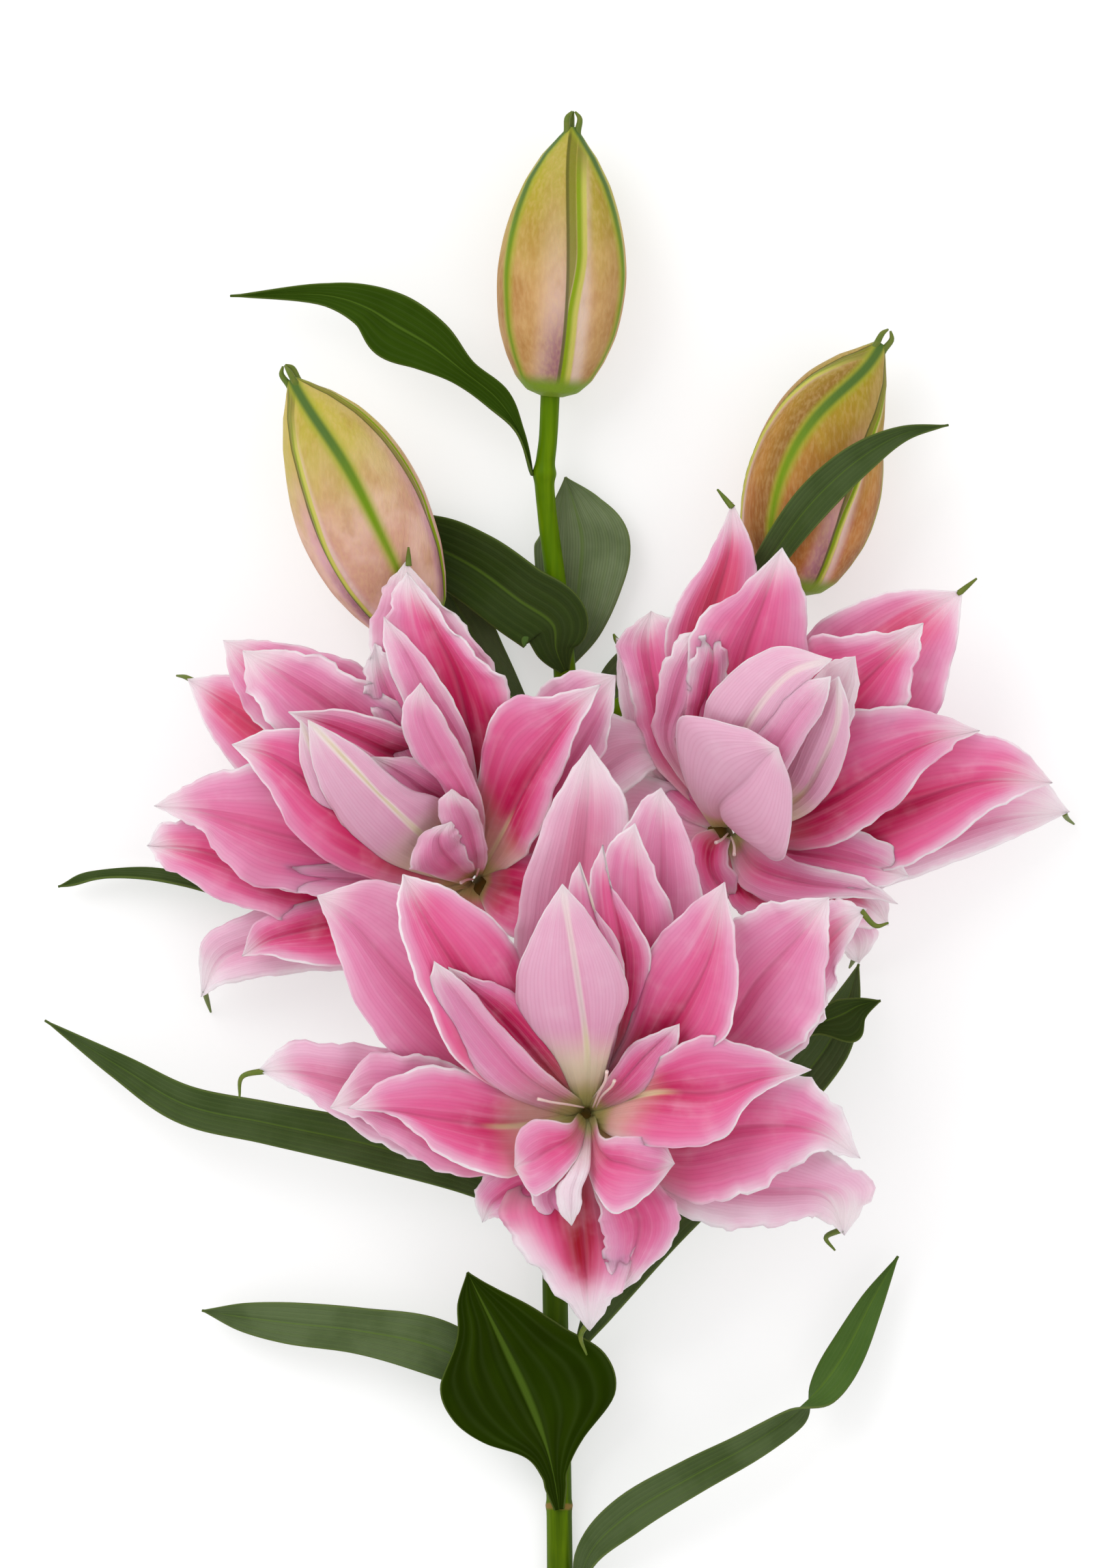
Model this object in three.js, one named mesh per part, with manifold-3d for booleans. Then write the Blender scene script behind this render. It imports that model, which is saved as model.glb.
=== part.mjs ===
// A cut double-flowered lily laid down on a flat surface: one stem with five pedicels, three open
// blooms, three closed buds and thirteen leaves. Millimetres. +Y runs along the stem to the top
// bud, +Z is up from the surface. The origin is below the middle of the whole flower.
import * as THREE from 'three';
import { mergeVertices } from 'three/addons/utils/BufferGeometryUtils.js';
import Module from 'manifold-3d';

const wasm = await Module();
wasm.setup();

// Driving dimensions
const PETAL_THICKNESS = 0.9;
const LEAF_THICKNESS = 0.9;
const STEM_SIDES = 12;
const PEDICEL_SIDES = 8;
const PEDICEL_RADIUS = 2.7;
const PEDICEL_NECK = 4;
const SEAT_GAP = 0.3;
const CUP_RADII = [3.6, 7, 3];
const CUP_PLACES = [-9, -3.5, 1.5];
const CLAW_RADIUS = 1.1;
const PETAL_START = 1.5;
const PETAL_DEPTH = 2;
const PETAL_FOOT = 1;
const PETAL_FOOT_SHARE = 0.25;
const PETAL_CUPPING = 1.6;
const LEAF_FOOT_HALF_WIDTH = 1.7;
const LEAF_GAP = 1.05;
const BUD_LOBE = 0.035;

// How finely each kind of piece is divided
const PETAL_PLACES = [0, 0.25, 0.5, 0.75, 0.9, 1];
const PETAL_COLUMNS = 4;
const SMALL_PETAL_PLACES = [0, 0.35, 0.65, 0.85, 1];
const SMALL_PETAL_COLUMNS = 2;
const SMALL_PETAL_WIDTH = 27;
const LEAF_ROWS = 10;
const LEAF_COLUMNS = 4;
const BUD_SIDES = 16;
const STEM_STEPS = 22;
const PEDICEL_STEPS = 6;
const SMALLEST_DETAIL = 0.3;

// Centre line of the stem, from the cut end to the top bud: [x, y, z, radius]
const STEM_LINE = [
  [0.5, -255, 4.1, 4.2], [0.3, -228, 4.1, 4.2], [0, -200, 4.3, 4.1], [-0.6, -165, 5.2, 4.1],
  [-1.3, -130, 6.4, 4.1], [-1.2, -90, 8, 4], [0, -45, 9.8, 4], [1, 0, 11.8, 3.9],
  [2, 40, 13.4, 3.8], [1.8, 72, 15, 3.6], [-1.1, 101, 16.6, 3.3], [-4, 124, 17.9, 3.1],
  [-4.8, 136, 18.5, 3.2], [-3.6, 148, 19.2, 3], [-2.9, 161, 19.9, 3.1],
];

// The pedicels, each from inside the stem to the foot of what it carries
const PEDICELS = {
  bloom_centre: [[-1.2, -96, 8], [1, -90, 20], [5, -82, 32]],
  bloom_left: [[0.6, -22, 10.6], [-8, -12, 14], [-18, -3, 19]],
  bloom_right: [[0.8, -8, 11.4], [22, 2, 14], [42, 12, 20]],
  bud_left: [[2, 42, 13.7], [-12, 56, 16], [-32, 75, 21]],
  bud_right: [[1.9, 50, 14], [26, 64, 14.5], [54, 82, 18]],
};

// The buds: the centre line from foot to tip, the radius and the place of the first rib round it
const BUDS = {
  bud_top: {
    line: [[-2.8, 161.6, 20], [-0.6, 190, 21.2], [1.4, 220, 21.9], [4.2, 250, 22.4]], radius: 20.6, turn: 68,
  },
  bud_left: {
    line: [[-45.5, 84, 26], [-59, 113, 30], [-72, 141, 36], [-87.5, 167.5, 41]], radius: 22, turn: 5,
  },
  bud_right: {
    line: [[76.5, 97, 21.8], [80, 122, 22.3], [88.5, 154, 22.7], [104.5, 182, 24]], radius: 22.2, turn: -28,
  },
};

// Half width of a bud along its length, as parts of its length and of its radius
const BUD_PROFILE = [
  [0, 0.17], [0.02, 0.4], [0.07, 0.6], [0.15, 0.77], [0.25, 0.91], [0.36, 0.98], [0.46, 1],
  [0.57, 0.95], [0.68, 0.84], [0.79, 0.67], [0.89, 0.43], [0.96, 0.2], [1, 0.07],
];

// The blooms. Each petal is drawn by its midrib and its two edges as they lie seen from above:
// three points of the midrib with the tip, three of the left edge and three of the right edge,
// left and right as seen from the root. The last two numbers give how far the left and the
// right edge rise above the midrib for each millimetre they are away from it.
const BLOOMS = {
  bloom_centre: {
    root: [9, -72, 47],
    petals: [
      [[9, -50, 78], [6, -28, 99], [3, -10, 112], [1, 3, 118],
        [-10, -51], [-14.5, -30], [-7, -10], [17, -51], [22.5, -31], [11, -9], -0.25, -0.3],
      [[13, -46, 72], [14, -22, 92], [11, -4, 103], [6.5, 10, 108],
        [4, -46], [4, -22], [3, 1], [19, -45], [20.5, -20], [9.5, -2], 0.2, -0.1],
      [[18, -44, 68], [20, -20, 87], [17, 0, 97], [14, 15.5, 102],
        [8, -44], [10, -20], [10, 4], [26, -42], [29, -19], [17, 2], 0.2, 0.3],
      [[22, -42, 64], [26, -16, 80], [25, 6, 90], [24.5, 22.5, 95],
        [14, -42], [12, -10], [16, 14], [32, -42], [37, -12], [31, 6], 0.2, 0.3],
      [[26, -36, 60], [32, -6, 74], [33, 18, 83], [33, 34, 86],
        [16, -34], [16, 4], [25, 27], [40, -36], [46, -4], [41, 20], 0.2, 0.2],
      [[6, -36, 59], [7, -4, 72], [9, 26, 80], [10, 48, 82],
        [-12, -36], [-13, -4], [-2, 29], [18, -34], [20, 0], [22, 27], 0.2, 0.2],
      [[28, -54, 66], [40, -38, 80], [49, -20, 90], [53.5, 3.5, 97],
        [22, -44], [28, -21], [41, -6], [38, -58], [53.5, -44], [56.5, -20], 0.25, 0.9],
      [[48, -50, 64], [64, -29, 74], [78, -14, 79], [87.5, -1.5, 80],
        [46, -34], [56, -11], [71, -3.5], [62, -57], [82, -44], [87, -20], 0.3, 0.3],
      [[52, -48, 52], [74, -28, 61], [90, -13, 64], [100, -5.5, 60],
        [50, -30], [72, -8], [89, -2.5], [68, -58], [85, -42], [90, -25], 0.2, 0.2],
      [[30, -65, 73], [50, -65, 82], [67, -60, 82], [82, -57.5, 77],
        [28, -57], [46, -46.5], [66, -51.5], [22, -80.5], [48, -81.5], [63.5, -66], 0.3, 0.35],
      [[35, -80, 60], [60, -76, 69], [82, -77, 68], [98, -86.5, 60],
        [40, -66], [70, -58], [89, -68], [40, -99.5], [64, -96], [82, -85], 0.25, 0.25],
      [[40, -90, 50], [64, -96, 56], [86, -98, 50], [93, -112, 33],
        [50, -78], [82, -83], [102, -96], [38, -104], [60, -109.5], [83, -106], 0.1, 0.0],
      [[19, -63, 66], [26, -55, 75], [33, -48, 81], [39, -42.5, 84],
        [16, -60], [23, -50], [31, -45.5], [25, -66], [34, -58], [38.5, -49], 0.2, 0.3],
      [[-24, -54, 64], [-48, -31, 78], [-66, -11, 84], [-78.5, -1, 86],
        [-42, -61], [-63.5, -40], [-73, -15], [-12, -38], [-34, -8], [-58, 3.5], 0.2, 0.2],
      [[-14, -54, 72], [-30, -30, 90], [-43, -9, 101], [-50.5, 6, 106],
        [-30, -57], [-44, -30], [-51, -7], [-6, -38], [-17, -14], [-36, 1], 0.9, 0.3],
      [[-10, -60, 76], [-23, -46, 88], [-34, -32, 98], [-40.5, -22, 102],
        [-18, -65], [-33, -49], [-41, -31], [-3, -60], [-18, -44], [-31, -29], 0.2, 0.1],
      [[-6, -56, 72], [-18, -42, 84], [-29, -31, 93], [-36, -24, 97],
        [-12, -60], [-26, -46], [-33, -33], [2, -50], [-14, -33], [-26, -28], 0.2, 0.3],
      [[-16, -76, 68], [-36, -74, 79], [-54, -71, 80], [-68.5, -70, 75],
        [-15, -92], [-38, -85], [-52, -73], [-16, -63], [-37, -57], [-56, -61], 0.35, 0.35],
      [[-24, -76, 62], [-45, -72, 71], [-62, -69, 71], [-74.5, -70, 66],
        [-28, -92.5], [-48, -84], [-63, -74.5], [-24, -60], [-42, -54], [-62, -53.5], 0.2, 0.3],
      [[-34, -71, 54], [-60, -65, 61], [-82, -60, 61], [-98, -58, 55],
        [-40, -87], [-62, -79], [-82, -66.5], [-36, -54], [-62, -50], [-87, -49], 0.2, 0.3],
      [[3, -80, 73], [-4, -84, 79], [-9, -87, 79], [-14.5, -89, 75],
        [6, -86], [-1, -94], [-8.5, -98], [3, -75], [-6, -73.5], [-13.5, -78.5], 0.2, 0.2],
      [[14, -85, 73], [22, -88, 80], [30, -90, 80], [37.5, -88, 75],
        [14, -79.5], [23, -79], [33.5, -81], [11, -96], [18, -103], [28.5, -98], 0.2, 0.3],
      [[7, -88, 77], [4.5, -96, 81], [4, -102, 80], [4, -108, 73],
        [10, -88], [7.5, -96], [7, -102], [3, -89], [-1, -96], [0, -103], -0.2, -0.3],
      [[7, -97, 62], [8, -114, 61], [9, -130, 52], [10, -143, 38],
        [20, -97], [25, -115], [18, -132], [-19, -101], [-14, -114], [-1.5, -130], -0.1, -0.1],
      [[20, -95, 66], [26, -107, 64], [24, -119, 56], [19, -131, 46],
        [33, -95], [39.5, -107], [31.5, -120.5], [12, -100], [15, -112], [16, -122], 0.0, 0.3],
      [[-6, -92, 60], [-14, -96, 58], [-21, -101, 52], [-25, -107.5, 44],
        [-4, -101], [-11, -106], [-19, -105], [-10, -86], [-20, -89], [-27.5, -97], 0.0, 0.0],
      [[1, -92, 66], [-3, -98, 68], [-1, -104, 64], [2, -108, 58],
        [6, -92], [4, -99], [4, -105], [-6, -92], [-9, -99], [-6, -104.5], 0.1, 0.1],
    ],
    claws: [
      [[-95, -58, 55], [-103, -60, 55], [-104, -67, 50]],
      [[98, -6, 60.5], [103, -11, 59], [107, -10, 60]],
      [[92, -110, 35], [87, -113, 28], [90, -117, 26]],
      [[10.5, -139, 41], [7, -145, 33], [9, -151, 29]],
    ],
  },
  bloom_left: {
    root: [-27, 4, 28],
    petals: [
      [[-46, 20, 57], [-59, 33, 67], [-71, 45, 73], [-81.5, 56, 76],
        [-56, 8], [-71, 21.5], [-79.5, 39], [-36, 28], [-49, 33.5], [-66, 47.5], -0.3, -0.2],
      [[-50, 14, 46], [-66, 26, 58], [-77, 40, 67], [-84, 56, 72],
        [-56, 6], [-74, 20], [-83.5, 40], [-44, 20], [-60, 32], [-74, 46], -0.2, 0.0],
      [[-42, 36, 44], [-60, 47, 57], [-75, 54, 64], [-88, 58.5, 68],
        [-46, 26], [-62, 38], [-76, 48], [-36, 45], [-53, 53.5], [-71, 58.5], 0.3, 0.5],
      [[-36, 26, 47], [-45, 33, 55], [-53, 39, 60], [-61, 44, 62],
        [-42, 18], [-52, 27], [-58, 37], [-30, 32], [-38, 40], [-49, 43.5], 0.2, 0.2],
      [[-28, 42, 49], [-33, 68, 61], [-42, 88, 65], [-49.5, 104, 64],
        [-42, 46], [-52, 72], [-55, 93], [-13, 46], [-17, 66], [-33, 83.5], 0.3, 0.3],
      [[-29, 42, 40], [-37, 72, 50], [-45, 94, 52], [-50, 107.5, 50],
        [-44, 46], [-61.5, 74], [-58, 96], [-14, 46], [-22, 74], [-37, 92.5], 0.2, 0.2],
      [[-31, 40, 55], [-42, 62, 67], [-50, 78, 70], [-57, 89.5, 70],
        [-40, 40], [-51, 63], [-56.5, 79], [-28, 46], [-36, 64], [-46, 79], 0.2, 0.3],
      [[-40, 38, 47], [-51, 56, 55], [-57, 69, 57], [-60, 81, 56],
        [-48, 34], [-60, 56], [-63.5, 68], [-33, 44], [-44, 62], [-54, 76], 0.2, 0.3],
      [[-29, 27, 58], [-37, 42, 68], [-44, 56, 75], [-45, 68, 78],
        [-37, 31], [-48, 44.5], [-51, 59], [-24.5, 27], [-31, 45], [-39.5, 60], 0.1, -0.2],
      [[-27, 11, 52], [-29, 20, 60], [-32, 27, 65], [-35, 33.5, 67],
        [-31, 9], [-36, 17], [-39.5, 28], [-23.5, 11], [-24.5, 21], [-28.5, 29], 0.1, -0.2],
      [[-33, 8, 54], [-38, 13, 62], [-39, 18, 65], [-35, 23, 66],
        [-42, 5.5], [-48.5, 8.5], [-44.5, 18.5], [-28, 9], [-31, 16], [-33, 20], 0.0, -0.1],
      [[-18, 20, 49], [-9, 37, 62], [2, 54, 67], [13.5, 67.5, 65],
        [-27, 34], [-20, 59], [-3, 63.5], [-12, 12], [-5, 26], [5, 49.5], 0.35, 0.6],
      [[-12, 16, 40], [1, 38, 50], [12, 57, 53], [18.5, 70.5, 50],
        [-22, 40], [-9, 62.5], [3, 71.5], [-3, 10], [9, 34], [16.5, 53], 0.2, 0.3],
      [[-6, 20, 33], [12, 38, 39], [25, 46, 37], [36.5, 43.5, 32],
        [-12, 32], [8, 56], [25, 55], [2, 12], [15, 27], [28, 37.5], 0.2, 0.1],
      [[-18, 2, 39], [-10, 0, 43], [0, -3, 42], [10, -6, 38],
        [-14, 12], [-6, 11], [4, 6], [-22, -10], [-12, -15], [0, -12], 0.2, 0.2],
      [[-54, 38, 38], [-80, 60, 45], [-98, 74, 43], [-109.5, 82, 38],
        [-68, 28], [-92, 48], [-105.5, 66], [-42, 50], [-64, 72.5], [-90, 81], 0.2, 0.3],
      [[-50, 38, 47], [-73, 58, 55], [-90, 70, 57], [-103, 78.5, 54],
        [-60, 30], [-86, 47], [-100, 64], [-40, 50], [-62, 67.5], [-83, 77.5], 0.3, 0.3],
      [[-62, 32, 27], [-90, 48, 29], [-109, 61, 25], [-121.5, 69.5, 18],
        [-72, 20], [-100, 35.5], [-114.5, 53], [-54, 44], [-84, 62], [-107, 70], 0.25, 0.25],
      [[-52, 18, 50], [-74, 31, 59], [-92, 43, 61], [-106.5, 48, 57],
        [-60, 4], [-82, 16], [-96.5, 37], [-44, 30], [-68, 48], [-91, 53], 0.3, 0.3],
      [[-60, 12, 41], [-88, 18, 48], [-114, 25, 46], [-132, 28, 38],
        [-64, -2], [-101, 4], [-117, 20], [-56, 28], [-88, 43], [-117, 36.5], 0.25, 0.25],
      [[-60, 2, 32], [-88, 6, 37], [-117, 13, 33], [-134.5, 15, 24],
        [-62, -8], [-94, -8], [-126, 6.5], [-58, 14], [-92, 21], [-126, 23], 0.2, 0.2],
      [[-54, 3, 43], [-70, 4, 47], [-84, 4, 48], [-96, 2.5, 46],
        [-54, -3], [-70, -1.5], [-85, 0], [-54, 9], [-72, 9], [-89, 9.5], 0.6, 0.1],
      [[-52, -7, 34], [-74, -11, 38], [-92, -15, 37], [-103.5, -21, 33],
        [-52, -18], [-75, -23], [-93, -20.5], [-52, 3], [-78, -2.5], [-98, -9.5], 0.6, 0.2],
      [[-56, -10, 22], [-84, -15, 26], [-108, -21, 22], [-117, -34.5, 12],
        [-58, -23], [-86, -26.5], [-108, -30], [-58, 2], [-92, -4.5], [-115.5, -15], 0.0, 0.2],
      [[-30, -12, 33], [-33, -28, 37], [-36, -42, 32], [-38, -54, 24],
        [-20, -12], [-20, -28], [-26, -44], [-42, -12], [-46, -28], [-47, -42], 0.2, 0.2],
    ],
    claws: [
      [[-119, 68.5, 18], [-122, 70, 15], [-125, 70.5, 11]],
      [[-116, -32, 13], [-115, -36, 6], [-114, -39.5, 0.4]],
      [[-49, 106, 50], [-49, 109, 50], [-49, 112, 52]],
      [[35, 44, 32.3], [37, 43, 31], [38.5, 40.5, 31]],
    ],
  },
  bloom_right: {
    root: [56, 20, 30],
    petals: [
      [[57, 44, 59], [64, 59, 77], [75, 71, 88], [88.5, 75.5, 92],
        [46, 50], [50, 66], [69, 79.5], [66, 42], [72, 56], [79, 66.5], -0.3, -0.15],
      [[64, 36, 62], [72, 50, 79], [80, 61, 88], [88, 70, 92],
        [58, 42], [68, 56], [77, 67], [70, 33], [78, 47], [86, 60], -0.2, -0.2],
      [[77, 30, 51], [85, 42, 66], [90, 55, 79], [90.5, 70, 89],
        [71, 38], [77, 52], [84, 65], [81, 25.5], [92, 40], [94.5, 57], -0.2, -0.4],
      [[74, 40, 42], [85, 55, 60], [92, 67, 72], [96, 76.5, 79],
        [66, 48], [79, 65], [88, 74.5], [82, 36], [93, 52], [97, 66], 0.2, 0.2],
      [[52, 28, 55], [60, 36, 72], [66, 43, 81], [71, 47, 86],
        [40, 36], [38, 56], [59, 53.5], [62, 15], [72.5, 10.5], [75.5, 31], -0.2, -0.25],
      [[47, 58, 39], [49, 86, 47], [55, 110, 47], [56.5, 127, 42],
        [38, 58], [35.5, 87], [48.5, 109], [55, 54], [61.5, 84], [63.5, 109], 0.25, 0.25],
      [[54, 52, 46], [60, 76, 57], [67, 96, 61], [72.5, 112, 60],
        [44, 54], [43, 84], [58, 97.5], [64, 48], [79, 73], [79, 98], 0.3, 0.2],
      [[37, 42, 35], [32, 62, 42], [29, 79, 42], [30, 91.5, 38],
        [31, 42], [24.5, 62], [20, 82], [44, 44], [42, 66], [38, 86], 0.25, 0.25],
      [[34, 40, 27], [27, 58, 29], [22, 72, 25], [18.5, 83, 20],
        [29, 40], [20.5, 58], [19, 72], [40, 44], [34, 64], [27, 78], 0.1, 0.2],
      [[36, 46, 44], [38, 62, 53], [42, 75, 58], [47, 86.5, 60],
        [33, 46], [32, 66], [37, 80], [39, 46], [43, 64], [46, 75], 0.3, 0.3],
      [[46, 50, 47], [48, 64, 55], [50, 75, 60], [49, 86, 62],
        [42, 54], [42, 68], [45, 80], [52, 52], [54.5, 68], [53.5, 80], 0.4, 0.3],
      [[76, 48, 33], [97, 70, 40], [116, 87, 40], [131.5, 98, 36],
        [66, 60], [84, 86], [108, 97.5], [92, 36], [120, 54], [129, 80], 0.25, 0.25],
      [[76, 44, 43], [92, 61, 52], [106, 75, 55], [118.5, 87.5, 54],
        [68, 56], [81, 81], [101, 83.5], [90, 40], [109, 55], [116, 75], 0.4, 0.3],
      [[76, 25, 42], [95, 34, 52], [117, 47, 54], [137, 52.5, 48],
        [74, 38], [93, 57.5], [116, 59.5], [84, 14], [106, 26], [124, 45], 0.3, 0.3],
      [[84, 20, 33], [110, 28, 41], [137, 36, 40], [161, 35.5, 31],
        [84, 36], [118, 52], [147, 48], [90, 6], [117, 11], [143, 28], 0.25, 0.25],
      [[86, 10, 23], [114, 15, 28], [143, 24, 23], [167, 26, 12],
        [88, 26], [120, 34], [153, 38.5], [88, -2], [113, 4], [143, 15], 0.2, 0.15],
      [[72, 14, 37], [86, 12, 42], [100, 9, 42], [114, 5, 38],
        [73, 21], [90, 22], [107, 15.5], [70, 9], [86, 4], [101, 1], 0.25, 0.3],
      [[64, 8, 40], [80, 3, 45], [97, 0.5, 44], [110.5, -4, 38],
        [66, 15], [82, 8.5], [100, 4], [60, 1], [77, -4], [95, -1.5], 0.3, 0.2],
      [[60, 5, 33], [63, -1, 36], [68, -4, 34], [76, -7, 30],
        [66, 6], [72, 0], [76, -3], [54, 1], [57, -5], [64, -8], 0.2, 0.2],
      [[74, 2, 20], [86, -7, 22], [95, -15, 17], [98, -23.5, 10],
        [80, 8], [97, -3], [104.5, -13], [68, -6], [79, -14], [90, -19], 0.1, 0.1],
      [[76, 5, 28], [89, 1, 32], [100, -3, 30], [107.5, -11, 25],
        [80, 11], [94, 6], [106, -1], [72, -2], [85, -8], [97, -12], 0.2, 0.2],
      [[50, 15, 37], [49, 8, 40], [52, 2, 38], [57, -2, 34],
        [55.5, 15.5], [55, 9], [58, 3], [44, 18], [43, 8], [47, -2.5], 0.2, 0.2],
      [[46, 27, 32], [40, 32, 31], [34, 36, 27], [27, 38, 22],
        [42, 23], [36, 27], [30, 33], [47, 31], [42, 36.5], [36, 41], 0.2, 0.2],
      [[44, 14, 29], [34, 15, 27], [25, 18, 22], [17, 22, 16],
        [47, -3.5], [36, -3], [24, 6], [44, 30], [33, 36.5], [22, 37], 0.1, 0.1],
    ],
    claws: [
      [[165, 25.8, 12.5], [166, 24, 7], [168.5, 22, 0.4]],
      [[130, 97, 36], [133, 99.5, 37], [136, 102, 39]],
      [[56.5, 125, 42.3], [54, 128, 42], [51.5, 131, 43]],
      [[97, -21, 11], [96, -23, 6], [95, -25, 2]],
      [[19.5, 81, 20.5], [18.5, 82.5, 19], [17.8, 84, 18]],
    ],
  },
};

// The leaves. The foot gives the place along the stem and round it in degrees, 90 on top, with
// the turn of the blade there. Each point of the midrib has x, y, z, the half widths to the
// left and right and the turn of the upper side about the midrib, in degrees from +Z.
const LEAVES = {
  leaf_top_left: {
    foot: [136, 180, 90], fold: 0.2, wave: 0.8,
    line: [
      [-13, 150, 22, 1.8, 1.8, 40], [-22, 164, 27, 5, 5, 0], [-38, 175, 31, 8, 8, 0],
      [-51, 183, 32, 10.5, 10.5, 0], [-62, 191, 29, 6.5, 6.5, 0], [-76, 195, 24, 3.5, 3.5, 0],
      [-108, 194.5, 15, 0, 0, 0],
    ],
  },
  leaf_behind: {
    foot: [73, 270, 0], fold: 0.08, wave: 0.8,
    line: [
      [5, 86, 8, 9, 9, 0], [6.5, 100, 6.5, 14, 14, 0], [7.5, 115, 6.5, 15.5, 15.5, 0],
      [5, 126, 8, 9, 9, 0], [2, 135.5, 9, 0, 0, 0],
    ],
  },
  leaf_dark: {
    foot: [72, 90, 0], fold: 0.15, wave: 0.6,
    line: [
      [-1, 79, 23, 6.5, 6.5, 0], [-2, 87, 25, 12, 12, 0], [-13, 95, 24, 12, 12, 0],
      [-28, 106, 15, 11.5, 11.5, 0], [-44, 114, 6.5, 9.5, 9.5, 0], [-76, 126, 5, 0, 0, 0],
    ],
  },
  leaf_tuck: {
    foot: [36, 200, 75], fold: 0.1, wave: 0.5,
    line: [
      [-12, 56, 7, 4, 4, 20], [-24, 76, 6, 7, 7, 0], [-31, 89, 6, 7, 7, 0], [-39, 103, 8, 0, 0, 0],
    ],
  },
  leaf_between: {
    foot: [40, -20, -80], fold: 0.1, wave: 0.5,
    line: [
      [12, 56, 7, 4, 4, -20], [22, 68, 6.5, 9, 9, 0], [36, 80, 6.5, 8, 8, 0], [52, 90, 8, 0, 0, 0],
    ],
  },
  leaf_left_high: {
    foot: [-34, 180, 0], fold: 0.15, wave: 0.5,
    line: [
      [-30, -22, 7, 6, 6, 0], [-70, -9, 7, 7, 7, 30], [-108, -1, 8.5, 7, 7, 70],
      [-135, 4.5, 9, 6, 6, 72], [-153, 4.5, 8, 3, 3, 60], [-164, 1.5, 7, 0, 0, 0],
    ],
  },
  leaf_left_long: {
    foot: [-109, 170, 75], fold: 0.2, wave: 0.8,
    line: [
      [-26, -93.5, 19, 6.5, 6.5, 0], [-60, -83, 26, 7.6, 7.6, 0], [-95, -75.5, 27, 6.9, 6.9, 0],
      [-122, -69.5, 24, 6.3, 6.3, 0], [-143, -57.5, 17, 4.2, 4.2, 0], [-168.5, -42, 8, 0, 0, 0],
    ],
  },
  leaf_right_long: {
    foot: [-156, 20, -90], fold: 0.2, wave: 0.8,
    line: [
      [12, -138, 14, 4, 4, -30], [28, -114.5, 21, 6.5, 6.5, 0], [58, -84, 22, 8, 8, 0],
      [87, -51, 18, 7.8, 7.8, 0], [94, -36, 15, 4.5, 4.5, 0], [98, -23.5, 12, 0, 0, 0],
    ],
  },
  leaf_low_left: {
    foot: [-174, 150, 110], fold: 0.15, wave: 0.6,
    line: [
      [-18, -161, 13, 6, 6, 10], [-40, -149, 17, 9.3, 9.3, 0], [-65, -143.5, 17, 7.6, 7.6, 0],
      [-88, -141, 14, 6.8, 6.8, 0], [-104, -139, 11, 4.5, 4.5, 0], [-117, -137, 8, 0, 0, 0],
    ],
  },
  leaf_front: {
    foot: [-202, 90, 0], fold: 0.12, wave: 0.6,
    line: [
      [-1, -195, 11, 3.5, 3.5, 0], [-2, -190, 12.5, 4, 5, 0], [-4, -182, 15, 8, 12, 0],
      [-7.5, -172, 18.5, 19.3, 27, 0], [-12, -161, 22, 25.5, 29, 0], [-17, -150, 24, 24.5, 20, 0],
      [-22, -140, 25, 12.8, 12.8, 0], [-26.5, -131, 24.8, 7.4, 5.2, 0], [-30, -124, 24, 0, 0, 0],
    ],
  },
  leaf_low_right: {
    foot: [-236, 10, -95], fold: 0.2, wave: 0.6,
    line: [
      [9.7, -217, 10, 4.5, 4.5, -30], [22.6, -203.6, 15, 6.5, 6.5, 0], [43, -191.2, 20, 6, 6, 0],
      [62.4, -180.6, 21, 5.2, 5.2, 15], [76.5, -171, 20, 5, 5, 50], [84.5, -163.5, 19, 6.5, 6.5, 130],
      [93, -151.5, 16.5, 6.3, 6.3, 165], [102.5, -133.5, 12.5, 3.8, 3.8, 170],
      [111, -119, 10, 0, 0, 170],
    ],
  },
};

// Two small leaves that grow on pedicels, with the midrib given from its foot
const BRACTS = {
  leaf_bud_right: {
    fold: 0.15, wave: 0.4,
    line: [
      [57.2, 85.2, 22.3, 2, 2, 0], [64, 100, 34, 4, 4, 0], [72.5, 114, 44, 5.3, 5.3, 0],
      [84, 128.5, 49, 6.2, 6.2, 0], [98, 141, 49, 5.2, 5.2, 0], [112, 149, 46, 2.6, 2.6, 0],
      [127, 152, 41, 0, 0, 0],
    ],
  },
  leaf_bloom_centre: {
    fold: 0.2, wave: 0.4,
    line: [
      [7.8, -79, 31.8, 2.2, 2.2, 0], [34, -64, 38, 5, 5, 0], [60, -54, 38, 5, 5, 0],
      [82, -44, 33, 4, 3, 0], [92, -40, 31, 5, 10, 0], [98, -37, 30, 2.5, 5, 0],
      [105, -35.5, 29, 0, 0, 0],
    ],
  },
};

const GREENS = { stem: 0x5f8a2c, leaf: 0x2f5a2a, claw: 0x8a8a3a };
const PINK = 0xe08ab4;
const BUD_TAN = 0xc9a56a;

function vector(point) {
  return new THREE.Vector3(point[0], point[1], point[2]);
}

function surface(positions, indices) {
  const geometry = new THREE.BufferGeometry();
  geometry.setAttribute('position', new THREE.Float32BufferAttribute(positions, 3));
  geometry.setIndex(indices);
  return geometry;
}

// A closed mesh as a solid that can be joined to others
function solidOf(geometry) {
  geometry.deleteAttribute('normal');
  geometry.deleteAttribute('uv');
  const merged = mergeVertices(geometry, 1e-5);
  const mesh = new wasm.Mesh({
    numProp: 3,
    vertProperties: new Float32Array(merged.attributes.position.array),
    triVerts: new Uint32Array(merged.index.array),
  });
  return new wasm.Manifold(mesh);
}

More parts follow.
